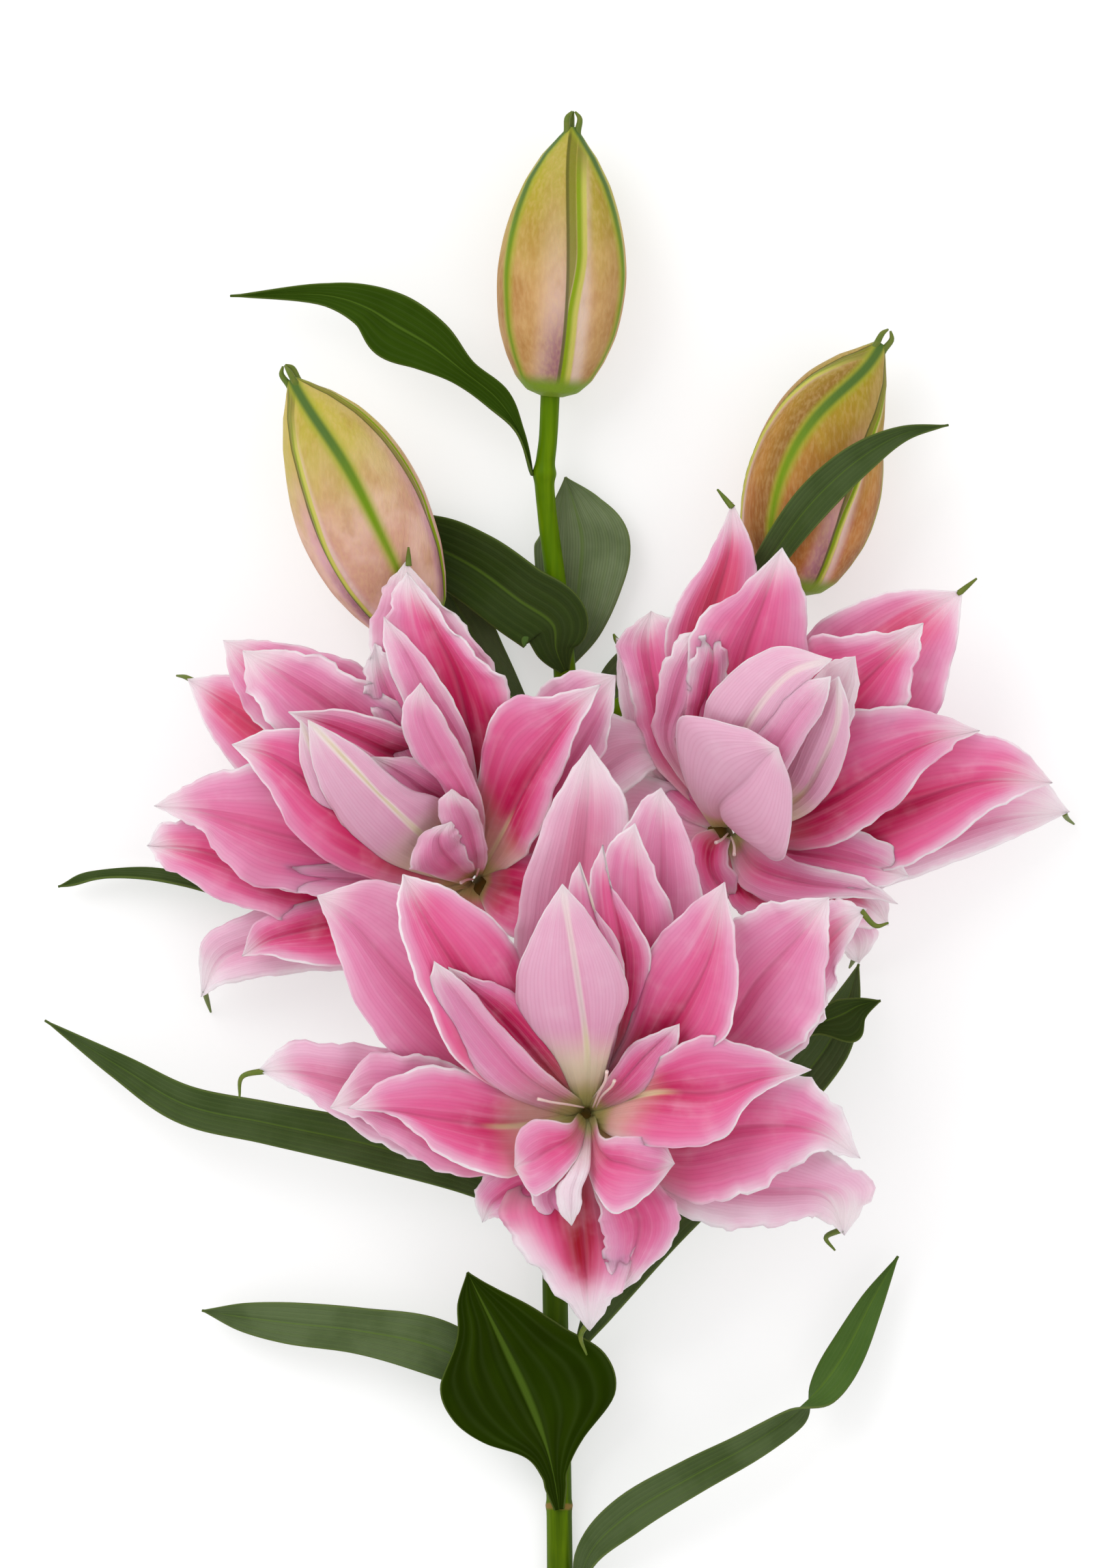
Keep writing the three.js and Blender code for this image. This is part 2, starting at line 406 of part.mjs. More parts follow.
// The joined solids as one mesh: small hollows that the joining seals are filled
function fuse(geometries) {
  const solids = geometries.map(solidOf);
  const joined = solids.slice(1).reduce((whole, next) => whole.add(next), solids[0]);
  const bodies = joined.simplify(SMALLEST_DETAIL).decompose();
  bodies.sort((a, b) => b.volume() - a.volume());
  const mesh = bodies[0].getMesh();
  return surface(Array.from(mesh.vertProperties), Array.from(mesh.triVerts));
}

// Rings of points joined into a closed skin, with a fan over each end
function skin(rings) {
  const sides = rings[0].length;
  const positions = [];
  const indices = [];
  rings.forEach((ring) => ring.forEach((p) => positions.push(p.x, p.y, p.z)));
  for (let row = 0; row < rings.length - 1; row += 1) {
    for (let side = 0; side < sides; side += 1) {
      const next = (side + 1) % sides;
      const a = row * sides + side;
      const b = row * sides + next;
      indices.push(a, b, b + sides, a, b + sides, a + sides);
    }
  }
  [0, rings.length - 1].forEach((row) => {
    const centre = new THREE.Vector3();
    rings[row].forEach((p) => centre.addScaledVector(p, 1 / sides));
    const middle = positions.length / 3;
    positions.push(centre.x, centre.y, centre.z);
    for (let side = 0; side < sides; side += 1) {
      const a = row * sides + side;
      const b = row * sides + ((side + 1) % sides);
      if (row === 0) indices.push(middle, b, a);
      else indices.push(middle, a, b);
    }
  });
  return surface(positions, indices);
}

// A round tube along a curve whose radius changes from end to end
function tube(points, radii, sides, steps) {
  const curve = new THREE.CatmullRomCurve3(points, false, 'centripetal');
  const rings = [];
  for (let step = 0; step <= steps; step += 1) {
    const t = step / steps;
    const centre = curve.getPoint(t);
    const along = curve.getTangent(t);
    const reference = Math.abs(along.x) > 0.9 ? new THREE.Vector3(0, 1, 0) : new THREE.Vector3(1, 0, 0);
    const across = reference.addScaledVector(along, -reference.dot(along)).normalize();
    const up = new THREE.Vector3().crossVectors(across, along).normalize();
    const place = t * (radii.length - 1);
    const low = Math.min(Math.floor(place), radii.length - 2);
    const radius = THREE.MathUtils.lerp(radii[low], radii[low + 1], place - low);
    const ring = [];
    for (let side = 0; side < sides; side += 1) {
      const angle = (2 * Math.PI * (side + 0.5)) / sides;
      const p = centre.clone().addScaledVector(across, -radius * Math.sin(angle));
      ring.push(p.addScaledVector(up, -radius * Math.cos(angle)));
    }
    rings.push(ring);
  }
  return skin(rings);
}

// A thin curved blade: the same triangles on both faces and a closed rim. At each place along
// it the shape gives the middle, the direction across, the way the upper face looks and the
// half widths. The last row is a single point.
function blade(sample, shape) {
  const { rows, columns, thickness } = shape;
  const upper = [];
  const lower = [];
  for (let row = 0; row <= rows; row += 1) {
    const t = row / rows;
    const { middle, across, face, left, right } = sample(t);
    const cells = row === rows ? 0 : columns;
    for (let column = 0; column <= cells; column += 1) {
      const s = cells === 0 ? 0 : (2 * column) / columns - 1;
      const reach = Math.abs(s) * (s < 0 ? right : left);
      const angle = shape.bend * Math.abs(s) + 1e-6;
      const out = (Math.sign(s) * reach * Math.sin(angle)) / angle;
      const wave = shape.wave * s * s * Math.sin(shape.waves * 2 * Math.PI * t + (s < 0 ? 2 : 0));
      const rise = reach * ((1 - Math.cos(angle)) / angle + shape.fold) + wave * Math.sin(Math.PI * t);
      const point = middle.clone().addScaledVector(across, out).addScaledVector(face, rise);
      const lean = Math.sign(s) * (angle + Math.atan(shape.fold));
      const normal = face.clone().multiplyScalar(Math.cos(lean)).addScaledVector(across, -Math.sin(lean));
      upper.push(point.clone().addScaledVector(normal, thickness / 2));
      lower.push(point.clone().addScaledVector(normal, -thickness / 2));
    }
  }
  return closedBlade(upper, lower, rows, columns);
}

// The two faces of a blade as one closed skin
function closedBlade(upper, lower, rows, columns) {
  const wide = columns + 1;
  const count = upper.length;
  const tip = count - 1;
  const indices = [];
  function triangle(a, b, c) {
    indices.push(a, b, c, a + count, c + count, b + count);
  }
  for (let row = 0; row < rows - 1; row += 1) {
    for (let column = 0; column < columns; column += 1) {
      const a = row * wide + column;
      const b = a + 1;
      const c = a + wide;
      const d = c + 1;
      if ((row + column) % 2) {
        triangle(a, c, b);
        triangle(b, c, d);
      } else {
        triangle(a, c, d);
        triangle(a, d, b);
      }
    }
  }
  const last = (rows - 1) * wide;
  for (let column = 0; column < columns; column += 1) {
    triangle(last + column, tip, last + column + 1);
  }
  const rim = [];
  for (let column = 0; column <= columns; column += 1) rim.push(column);
  for (let row = 1; row < rows; row += 1) rim.push(row * wide + columns);
  rim.push(tip);
  for (let row = rows - 1; row > 0; row -= 1) rim.push(row * wide);
  rim.forEach((a, place) => {
    const b = rim[(place + 1) % rim.length];
    indices.push(a, b, b + count, a, b + count, a + count);
  });
  const positions = [];
  upper.concat(lower).forEach((p) => positions.push(p.x, p.y, p.z));
  return surface(positions, indices);
}

// The directions across a blade and out of its upper face, turned about the way it runs
function turned(flat, up, degrees) {
  const turn = THREE.MathUtils.degToRad(degrees);
  const across = flat.clone().multiplyScalar(Math.cos(turn)).addScaledVector(up, Math.sin(turn));
  const face = up.clone().multiplyScalar(Math.cos(turn)).addScaledVector(flat, -Math.sin(turn));
  return { across, face };
}

// A smooth curve that gives each stretch between two points the same share of its length
function evenCurve(points) {
  return new THREE.CatmullRomCurve3(points, false, 'catmullrom', 0.5);
}

// The midrib, the left edge and the right edge of a petal, from inside the cup to the tip
function petalLines(bloom, entry) {
  const root = vector(bloom.root);
  const midrib = entry.slice(0, 3).map(vector);
  const tip = vector(entry[3]);
  const outward = new THREE.Vector3(midrib[0].x - root.x, midrib[0].y - root.y, 0).normalize();
  const beside = new THREE.Vector3(-outward.y, outward.x, 0);
  const start = root.clone().addScaledVector(outward, PETAL_START);
  start.z -= PETAL_DEPTH;
  function edgeLine(traced, lift, way) {
    const reach = traced.map(([x, y], place) => Math.hypot(x - midrib[place].x, y - midrib[place].y));
    const points = traced.map(([x, y], place) => vector([x, y, midrib[place].z + lift * reach[place]]));
    const foot = way * (PETAL_FOOT + PETAL_FOOT_SHARE * reach[0]);
    return evenCurve([start.clone().addScaledVector(beside, foot), ...points, tip]);
  }
  return {
    middle: evenCurve([start, ...midrib, tip]),
    left: edgeLine(entry.slice(4, 7), entry[10], 1),
    right: edgeLine(entry.slice(7, 10), entry[11], -1),
  };
}

// A petal or sepal of a bloom: a thin blade spanned from its midrib to its two edges
function petal(bloom, entry) {
  const { middle, left, right } = petalLines(bloom, entry);
  const width = Math.max(...[0.25, 0.5, 0.75].map((t) => left.getPoint(t).distanceTo(right.getPoint(t))));
  const places = width < SMALL_PETAL_WIDTH ? SMALL_PETAL_PLACES : PETAL_PLACES;
  const columns = width < SMALL_PETAL_WIDTH ? SMALL_PETAL_COLUMNS : PETAL_COLUMNS;
  const upper = [];
  const lower = [];
  function spot(t, s) {
    const centre = middle.getPoint(t);
    const reach = (s < 0 ? right : left).getPoint(t).sub(centre);
    const share = Math.abs(s);
    reach.multiply(vector([share, share, share ** PETAL_CUPPING]));
    return centre.add(reach);
  }
  places.forEach((t) => {
    const cells = t === 1 ? 0 : columns;
    for (let column = 0; column <= cells; column += 1) {
      const s = cells === 0 ? 0 : (2 * column) / columns - 1;
      const near = Math.min(t, 0.96);
      const along = spot(near + 0.02, s).sub(spot(Math.max(near - 0.02, 0), s));
      const across = spot(near, Math.min(s + 0.2, 1)).sub(spot(near, Math.max(s - 0.2, -1)));
      const face = along.cross(across).normalize();
      upper.push(spot(t, s).addScaledVector(face, PETAL_THICKNESS / 2));
      lower.push(spot(t, s).addScaledVector(face, -PETAL_THICKNESS / 2));
    }
  });
  return closedBlade(upper, lower, places.length - 1, columns);
}

// A leaf along its midrib
function leaf(line, shape) {
  const curve = new THREE.CatmullRomCurve3(line.map(vector), false, 'centripetal');
  const edges = line.map((point) => new THREE.Vector3(point[3], point[4], point[5]));
  const widths = new THREE.CatmullRomCurve3(edges, false, 'catmullrom', 0.5);
  function sample(t) {
    const along = curve.getTangent(t);
    const up = new THREE.Vector3(0, 0, 1);
    up.addScaledVector(along, -up.dot(along)).normalize();
    const flat = new THREE.Vector3().crossVectors(up, along);
    const edge = widths.getPoint(t);
    const middle = curve.getPoint(t);
    return { middle, ...turned(flat, up, edge.z), left: edge.x, right: edge.y };
  }
  return blade(sample, {
    bend: 0.15, fold: shape.fold, wave: shape.wave, waves: 1.7, rows: LEAF_ROWS,
    columns: LEAF_COLUMNS, thickness: LEAF_THICKNESS,
  });
}

// The point of the stem's centre line at a place along Y, with its radius
function stemAt(y) {
  let index = STEM_LINE.findIndex((p) => p[1] > y);
  index = Math.max(1, index);
  const [low, high] = [STEM_LINE[index - 1], STEM_LINE[index]];
  const t = (y - low[1]) / (high[1] - low[1]);
  return low.map((value, axis) => THREE.MathUtils.lerp(value, high[axis], t));
}

// The foot of a leaf, just outside the stem
function leafFoot([y, degrees, turn]) {
  const [x, , z, radius] = stemAt(y);
  const angle = THREE.MathUtils.degToRad(degrees);
  const reach = radius + LEAF_GAP;
  const foot = [x + reach * Math.cos(angle), y, z + reach * Math.sin(angle)];
  return [...foot, LEAF_FOOT_HALF_WIDTH, LEAF_FOOT_HALF_WIDTH, turn];
}

// The centre line of a bud, with the directions round it at a place along it
function budLine({ line }) {
  const curve = new THREE.CatmullRomCurve3(line.map(vector), false, 'centripetal');
  return (t) => {
    const along = curve.getTangent(t);
    const across = new THREE.Vector3(0, 0, 1).addScaledVector(along, -along.z).normalize();
    const side = new THREE.Vector3().crossVectors(along, across);
    return { middle: curve.getPoint(t), along, across, side };
  };
}

// A closed bud: a spindle of three outer sepals, each with a raised rib, and three seams
function bud(shape) {
  const place = budLine(shape);
  const first = THREE.MathUtils.degToRad(shape.turn);
  const rings = BUD_PROFILE.map(([t, share]) => {
    const { middle, across, side } = place(t);
    const ring = [];
    for (let step = 0; step < BUD_SIDES; step += 1) {
      const angle = (2 * Math.PI * step) / BUD_SIDES;
      const lobe = 1 + BUD_LOBE * Math.cos(3 * (angle - first)) * Math.sin(Math.PI * t);
      const radius = shape.radius * share * lobe;
      const point = middle.clone().addScaledVector(across, radius * Math.cos(angle));
      ring.push(point.addScaledVector(side, radius * Math.sin(angle)));
    }
    return ring;
  });
  return skin(rings);
}

// The hooked green tip of a sepal
function claw(points) {
  return tube(points.map(vector), [CLAW_RADIUS, CLAW_RADIUS * 0.75, CLAW_RADIUS * 0.3], 4, 3);
}

// The three hooks at the tip of a bud, bent inwards over it
function budClaws(shape) {
  const { middle, along, across, side } = budLine(shape)(1);
  return [0, 1, 2].map((index) => {
    const angle = THREE.MathUtils.degToRad(shape.turn + 120 * index);
    const out = across.clone().multiplyScalar(Math.cos(angle)).addScaledVector(side, Math.sin(angle));
    const points = [[-5, 1.6], [-1, 1.6], [3, 2.2], [5, 1.2]].map(([ahead, away]) => (
      middle.clone().addScaledVector(along, ahead).addScaledVector(out, away)));
    return tube(points, [1.4, 1.1, 0.8, 0.4], 4, 3);
  });
}

// The green cup under a bloom that its petals grow from, with the point its pedicel ends at
function cupOf(name) {
  const root = vector(BLOOMS[name].root);
  const direction = root.clone().sub(vector(PEDICELS[name][2])).normalize();
  const points = CUP_PLACES.map((place) => root.clone().addScaledVector(direction, place));
  const end = points[0].clone().addScaledVector(direction, -SEAT_GAP);
  return { shape: tube(points, CUP_RADII, 10, 4), end, along: direction };
}

// Where a pedicel ends, just short of the cup of its bloom or the foot of its bud, and its way
function pedicelEnd(name) {
  if (BLOOMS[name]) return cupOf(name);
  const { middle, along } = budLine(BUDS[name])(0);
  return { end: middle.clone().addScaledVector(along, -SEAT_GAP), along };
}

function stemWithPedicels() {
  const main = tube(STEM_LINE.map(vector), STEM_LINE.map((p) => p[3]), STEM_SIDES, STEM_STEPS);
  const pedicels = Object.entries(PEDICELS).map(([name, points]) => {
    const { end, along } = pedicelEnd(name);
    const path = [...points.map(vector), end.clone().addScaledVector(along, -PEDICEL_NECK), end];
    return tube(path, [PEDICEL_RADIUS * 1.2, PEDICEL_RADIUS, PEDICEL_RADIUS], PEDICEL_SIDES, PEDICEL_STEPS);
  });
  return fuse([main, ...pedicels]);
}

function part(name, geometry, colour, roughness) {
  geometry.computeVertexNormals();
  const material = new THREE.MeshStandardMaterial({ color: colour, roughness, metalness: 0 });
  const mesh = new THREE.Mesh(geometry, material);
  mesh.name = name;
  return mesh;
}

const group = new THREE.Group();
group.add(part('stem', stemWithPedicels(), GREENS.stem, 0.5));
Object.entries(BUDS).forEach(([name, entry]) => {
  group.add(part(name, fuse([bud(entry), ...budClaws(entry)]), BUD_TAN, 0.5));
});
Object.entries(BLOOMS).forEach(([name, bloom]) => {
  const petals = bloom.petals.map((entry) => petal(bloom, entry));
  const claws = bloom.claws.map(claw);
  group.add(part(name, fuse([cupOf(name).shape, ...petals, ...claws]), PINK, 0.5));
});
Object.entries(LEAVES).forEach(([name, shape]) => {
  group.add(part(name, leaf([leafFoot(shape.foot), ...shape.line], shape), GREENS.leaf, 0.45));
});
Object.entries(BRACTS).forEach(([name, shape]) => {
  group.add(part(name, leaf(shape.line, shape), GREENS.leaf, 0.45));
});

export default group;
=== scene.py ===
import bpy
import math
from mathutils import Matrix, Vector


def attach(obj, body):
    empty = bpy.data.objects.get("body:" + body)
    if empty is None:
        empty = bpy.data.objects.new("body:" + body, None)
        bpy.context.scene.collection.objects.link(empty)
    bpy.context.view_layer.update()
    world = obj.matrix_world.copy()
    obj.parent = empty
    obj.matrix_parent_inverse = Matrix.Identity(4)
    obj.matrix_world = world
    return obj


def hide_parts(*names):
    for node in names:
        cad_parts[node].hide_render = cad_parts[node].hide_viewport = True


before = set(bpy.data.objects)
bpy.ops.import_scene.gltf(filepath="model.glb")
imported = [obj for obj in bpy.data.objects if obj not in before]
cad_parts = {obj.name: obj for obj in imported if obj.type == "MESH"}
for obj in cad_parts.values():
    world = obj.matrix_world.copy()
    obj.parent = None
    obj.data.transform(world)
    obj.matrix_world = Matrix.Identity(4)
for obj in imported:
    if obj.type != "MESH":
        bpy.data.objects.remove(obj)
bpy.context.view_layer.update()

# The camera looks straight down on the lying flower from far above, as a long lens does, with
# the top bud at the top of the picture and the cut end of the stem just below its lower edge.
CAMERA_HEIGHT = 8.0
PICTURE_HEIGHT = 0.5102
PICTURE_CENTRE = (-0.00167, 0.0351)
FLOWER_MIDDLE_HEIGHT = 0.045
camera_data = bpy.data.cameras.new("camera")
camera_data.lens = camera_data.sensor_width * CAMERA_HEIGHT / PICTURE_HEIGHT
camera_data.clip_end = 5 * CAMERA_HEIGHT
camera = bpy.data.objects.new("camera", camera_data)
camera.location = (*PICTURE_CENTRE, CAMERA_HEIGHT + FLOWER_MIDDLE_HEIGHT)
bpy.context.collection.objects.link(camera)
bpy.context.scene.camera = camera
bpy.context.scene.view_settings.view_transform = "Standard"


# The floor is a plain white studio surface, a hair below the flower's lowest points. Node trees
# are filled by the short calls defined here, and colours are written as they look on a screen.
FLOOR_SIZE = 12
FLOOR_HEIGHT = -0.0003


def add(tree, kind, inputs=None, **settings):
    node = tree.nodes.new(kind)
    for name, value in settings.items():
        setattr(node, name, value)
    for name, value in (inputs or {}).items():
        put(tree, node.inputs[name], value)
    return node


def put(tree, socket, value):
    if isinstance(value, bpy.types.NodeSocket):
        tree.links.new(value, socket)
    else:
        socket.default_value = value


def paint(code):
    values = [int(code[place:place + 2], 16) / 255 for place in (0, 2, 4)]
    return [v / 12.92 if v <= 0.04045 else ((v + 0.055) / 1.055) ** 2.4 for v in values] + [1]


def blend(tree, factor, first, second):
    node = add(tree, "ShaderNodeMix", data_type="RGBA")
    for place, value in ((0, factor), (6, first), (7, second)):
        put(tree, node.inputs[place], paint(value) if isinstance(value, str) else value)
    return node.outputs[2]


def surface(name, roughness, **settings):
    material = bpy.data.materials.new(name)
    material.use_nodes = True
    shader = material.node_tree.nodes["Principled BSDF"]
    shader.inputs["Roughness"].default_value = roughness
    for key, value in settings.items():
        shader.inputs[key.replace("_", " ")].default_value = value
    return material, material.node_tree, shader


bpy.ops.object.select_all(action="DESELECT")
bpy.ops.mesh.primitive_plane_add(size=FLOOR_SIZE, location=(0, 0, FLOOR_HEIGHT))
floor = bpy.context.object
floor.name = "floor"
white_floor, tree, shader = surface("white_floor", 0.8, Specular_IOR_Level=0.0, Emission_Strength=0.5)
speckle = add(tree, "ShaderNodeTexNoise", {"Scale": 6.0}).outputs[0]
put(tree, shader.inputs["Base Color"], blend(tree, speckle, "C2C2C2", "C6C6C6"))
floor.data.materials.append(white_floor)


# Soft studio light: a wide softbox above the upper left, a weaker one above the lower right
# and an even white surround, so that shadows stay faint. Each softbox has its place and watts.
SURROUND_STRENGTH = 0.87
SOFTBOX_SIZE = 1.6
SOFTBOXES = {"key_light": ((-1.3, 1.3, 2.2), 23), "fill_light": ((1.5, -1.0, 2.0), 6)}
world = bpy.data.worlds.new("studio")
world.use_nodes = True
surround = world.node_tree.nodes["Background"]
surround.inputs["Color"].default_value = (1, 1, 1, 1)
surround.inputs["Strength"].default_value = SURROUND_STRENGTH
bpy.context.scene.world = world
for name, (place, power) in SOFTBOXES.items():
    light = bpy.data.lights.new(name, "AREA")
    light.size = SOFTBOX_SIZE
    light.energy = power
    lamp = bpy.data.objects.new(name, light)
    lamp.location = place
    lamp.rotation_euler = (-Vector(place)).to_track_quat("-Z", "Y").to_euler()
    lamp.visible_camera = False
    bpy.context.collection.objects.link(lamp)


# The stem and its five pedicels are fresh green tissue, smooth and faintly ribbed, grown as one
# piece. A fallen leaf has left a brown ring low on the stem, and one node swells near the top
# bud. A round piece starts as a sphere whose rings are moved along a curve, in millimetres.
def curve_point(points, t):
    last = len(points) - 1
    place = t * last
    low = min(int(place), last - 1)
    w = place - low
    p1, p2 = points[low], points[low + 1]
    p0 = points[low - 1] if low > 0 else 2 * p1 - p2
    p3 = points[low + 2] if low + 2 <= last else 2 * p2 - p1
    d0, d1, d2 = [max((b - a).length, 1e-4) ** 0.5 for a, b in ((p0, p1), (p1, p2), (p2, p3))]
    m1 = ((p1 - p0) / d0 - (p2 - p0) / (d0 + d1) + (p2 - p1) / d1) * d1
    m2 = ((p2 - p1) / d1 - (p3 - p1) / (d1 + d2) + (p3 - p2) / d2) * d1
    return p1 + w * m1 + w * w * (3 * (p2 - p1) - 2 * m1 - m2) + w ** 3 * (2 * (p1 - p2) + m1 + m2)


def curve_way(points, t):
    return (curve_point(points, min(t + 1e-3, 1)) - curve_point(points, max(t - 1e-3, 0))).normalized()


def vectors(points):
    return [Vector(point[:3]) for point in points]


def between(values, t):
    place = t * (len(values) - 1)
    low = min(int(place), len(values) - 2)
    return values[low] + (values[low + 1] - values[low]) * (place - low)


def smooth(low, high, value):
    x = min(max((value - low) / (high - low), 0), 1)
    return x * x * (3 - 2 * x)


def bulge(distance, width):
    return math.exp(-(distance / width) ** 2)


def shaped(piece, place):
    layers = {}
    for vertex in piece.data.vertices:
        vertex.co, measures = place(vertex.co)
        vertex.co *= 0.001
        for key, value in measures.items():
            layers.setdefault(key, []).append(value)
    for key, values in layers.items():
        piece.data.attributes.new(key, "FLOAT", "POINT").data.foreach_set("value", values)
    bpy.ops.object.shade_smooth()
    return piece


def round_piece(sides, rings, place):
    def move(co):
        height = 1 - math.acos(max(-1, min(1, co.z))) / math.pi
        return place(round(height * rings), math.atan2(co.y, co.x))
    bpy.ops.object.select_all(action="DESELECT")
    bpy.ops.mesh.primitive_uv_sphere_add(segments=sides, ring_count=rings, radius=1)
    return shaped(bpy.context.object, move)


def joined(name, pieces, slot, node, *materials):
    bpy.ops.object.select_all(action="DESELECT")
    for piece in pieces:
        piece.select_set(True)
    bpy.context.view_layer.objects.active = pieces[0]
    if len(pieces) > 1:
        bpy.ops.object.join()
    piece = pieces[0]
    piece.name = name
    for material in materials:
        piece.data.materials.append(material)
    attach(piece, "root")
    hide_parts(node)


def tube(points, radii, sides, steps, ribs=0, swell=None):
    reach = points[-1] - points[0]
    axes = [Vector((1, 0, 0)), Vector((0, 1, 0)), Vector((0, 0, 1))]
    sideways = min(axes, key=lambda axis: abs(axis.dot(reach)))

    def place(ring, angle):
        t = min(max(ring - 1, 0), steps) / steps
        middle = curve_point(points, t)
        along = curve_way(points, t)
        across = (sideways - sideways.dot(along) * along).normalized()
        up = along.cross(across)
        radius = between(radii, t) * (1 + ribs * math.cos(6 * angle)) + (swell(middle) if swell else 0)
        if ring in (0, steps + 2):
            radius = 0
        return middle + radius * (math.cos(angle) * across + math.sin(angle) * up), {}
    return round_piece(sides, steps + 2, place)


def calc(tree, operation, *values):
    node = add(tree, "ShaderNodeMath", operation=operation)
    for socket, value in zip(node.inputs, values):
        put(tree, socket, value)
    return node.outputs[0]


def times(tree, first, second):
    return calc(tree, "MULTIPLY", first, second)


def fade(tree, value, low, high, first=0.0, last=1.0):
    ends = {"Value": value, "From Min": low, "From Max": high, "To Min": first, "To Max": last}
    return add(tree, "ShaderNodeMapRange", ends, interpolation_type="SMOOTHSTEP").outputs[0]


def mottle(tree, size_mm, stretch=(1, 1, 1), detail=3.0):
    place = add(tree, "ShaderNodeTexCoord").outputs["Object"]
    drawn_out = add(tree, "ShaderNodeMapping", {"Vector": place, "Scale": stretch}).outputs[0]
    noise = {"Vector": drawn_out, "Scale": 1000 / size_mm, "Detail": detail}
    return add(tree, "ShaderNodeTexNoise", noise).outputs[0]


def relief(tree, shader, height, strength, distance_mm):
    bumps = {"Height": height, "Strength": strength, "Distance": distance_mm / 1000}
    put(tree, shader.inputs["Normal"], add(tree, "ShaderNodeBump", bumps).outputs[0])


# Each point of the stem has x, y, z and its radius there, from the cut end up.
STEM_LINE = [
    [0.5, -255, 4.1, 4.2], [0.3, -228, 4.1, 4.2], [0, -200, 4.3, 4.1], [-0.6, -165, 5.2, 4.1],
    [-1.3, -130, 6.4, 4.1], [-1.2, -90, 8, 4], [0, -45, 9.8, 4], [1, 0, 11.8, 3.9],
    [2, 40, 13.4, 3.8], [1.8, 72, 15, 3.6], [-1.1, 101, 16.6, 3.3], [-4, 124, 17.9, 3.1],
    [-4.8, 136, 18.5, 3.2], [-3.6, 148, 19.2, 3], [-2.9, 162.4, 19.9, 3.1],
]
# The pedicels carry the centre, left and right blooms, then the left and right buds.
PEDICELS = [
    [[-1.2, -96, 8], [1, -90, 20], [5, -82, 32], [6.1, -79.2, 36.2], [7, -77, 39.4]],
    [[0.6, -22, 10.6], [-8, -12, 14], [-18, -3, 19], [-18.8, -2.4, 19.8], [-21.2, -0.5, 22.2]],
    [[0.8, -8, 11.4], [22, 2, 14], [42, 12, 20], [46.2, 14.4, 23], [49.1, 16.1, 25.1]],
    [[2, 42, 13.7], [-12, 56, 16], [-32, 75, 21], [-43.7, 80.1, 25.5], [-45.4, 83.7, 26]],
    [[1.9, 50, 14], [26, 64, 14.5], [54, 82, 18], [75.9, 92.7, 21.8], [76.5, 96.7, 21.8]],
]
PEDICEL_RADII = [3.24, 2.7, 2.7]
SCAR_Y = -201
NODE_Y = 136.5


def stem_swell(middle):
    return 0.35 * bulge(middle.y - SCAR_Y, 1.2) + 0.7 * bulge(middle.y - NODE_Y, 2.2)


def stem_green(name):
    soft = {"Subsurface_Weight": 0.03, "Subsurface_Scale": 0.001, "Specular_IOR_Level": 0.05}
    material, tree, shader = surface(name, 0.42, **soft)
    place = add(tree, "ShaderNodeTexCoord").outputs["Object"]
    y = add(tree, "ShaderNodeSeparateXYZ", {"Vector": place}).outputs[1]
    colour = blend(tree, fade(tree, y, -0.19, 0.03), "3A5200", "507200")
    streak = mottle(tree, 2.2, (1, 0.05, 1))
    colour = blend(tree, fade(tree, streak, 0.35, 0.7, 0.0, 0.35), colour, "789608")
    blotch = fade(tree, mottle(tree, 9), 0.45, 0.8, 0.0, 0.35)
    colour = blend(tree, blotch, colour, "3E5608")
    shade = fade(tree, y, -0.165, -0.135, 0.0, 0.65)
    shade = times(tree, shade, fade(tree, y, -0.09, -0.06, 1.0, 0.0))
    colour = blend(tree, shade, colour, "33480A")
    from_scar = calc(tree, "ABSOLUTE", calc(tree, "ADD", y, -SCAR_Y / 1000))
    ragged = calc(tree, "ADD", from_scar, times(tree, mottle(tree, 3), 0.0016))
    colour = blend(tree, fade(tree, ragged, 0.0011, 0.0022, 0.85, 0.0), colour, "8A6A3A")
    put(tree, shader.inputs["Base Color"], colour)
    relief(tree, shader, streak, 0.35, 0.3)
    return material


stem_radii = [point[3] for point in STEM_LINE]
stem_pieces = [tube(vectors(STEM_LINE), stem_radii, sides=36, steps=220, ribs=0.012, swell=stem_swell)]
for line in PEDICELS:
    stem_pieces.append(tube(vectors(line), PEDICEL_RADII, sides=24, steps=40, ribs=0.01))
joined("stem_with_pedicels", stem_pieces, "stem", "stem", stem_green("fresh_green_stem"))


# The closed buds are three waxy sepals grown round the folded petals. Each sepal has a broad
# green rib, and a narrow lime rib of a petal shows raised in the seam between two of them.
# The three sepals end in small green hooks bent over the tip.
BUD_SIDES = 180
BUD_RINGS = 80
HALF_SEPAL = math.pi / 3
# A hook's points lie so far past the bud's tip, and so far out from its axis.
BUD_HOOK = [[-6, 2.2], [-1.5, 2.0], [2.8, 2.4], [5, 0.6]]
BUD_HOOK_RADII = [1.5, 1.15, 0.9, 0.35]
# A bud's numbers are its axis, its largest radius, the turn of its first rib in degrees, how far
# the ribs twist by the tip in radians, and how wide the bands beside its seams are.
BUDS = {
    "bud_top": ([[-2.4, 161.6, 20.3], [-0.1, 190, 21.9], [2, 220, 22.6], [4.3, 249.5, 23]],
                21, 68, -0.3, 1.35),
    "bud_left": ([[-45.5, 84, 26], [-59.5, 113, 30], [-72, 141, 36], [-87, 167, 41]],
                 21.6, 8, -0.25, 0.8),
    "bud_right": ([[76.5, 97, 21.8], [80, 122, 22.3], [88, 151.5, 22.7], [105, 179, 24]],
                  22, -30, 0.77, 0.9),
}
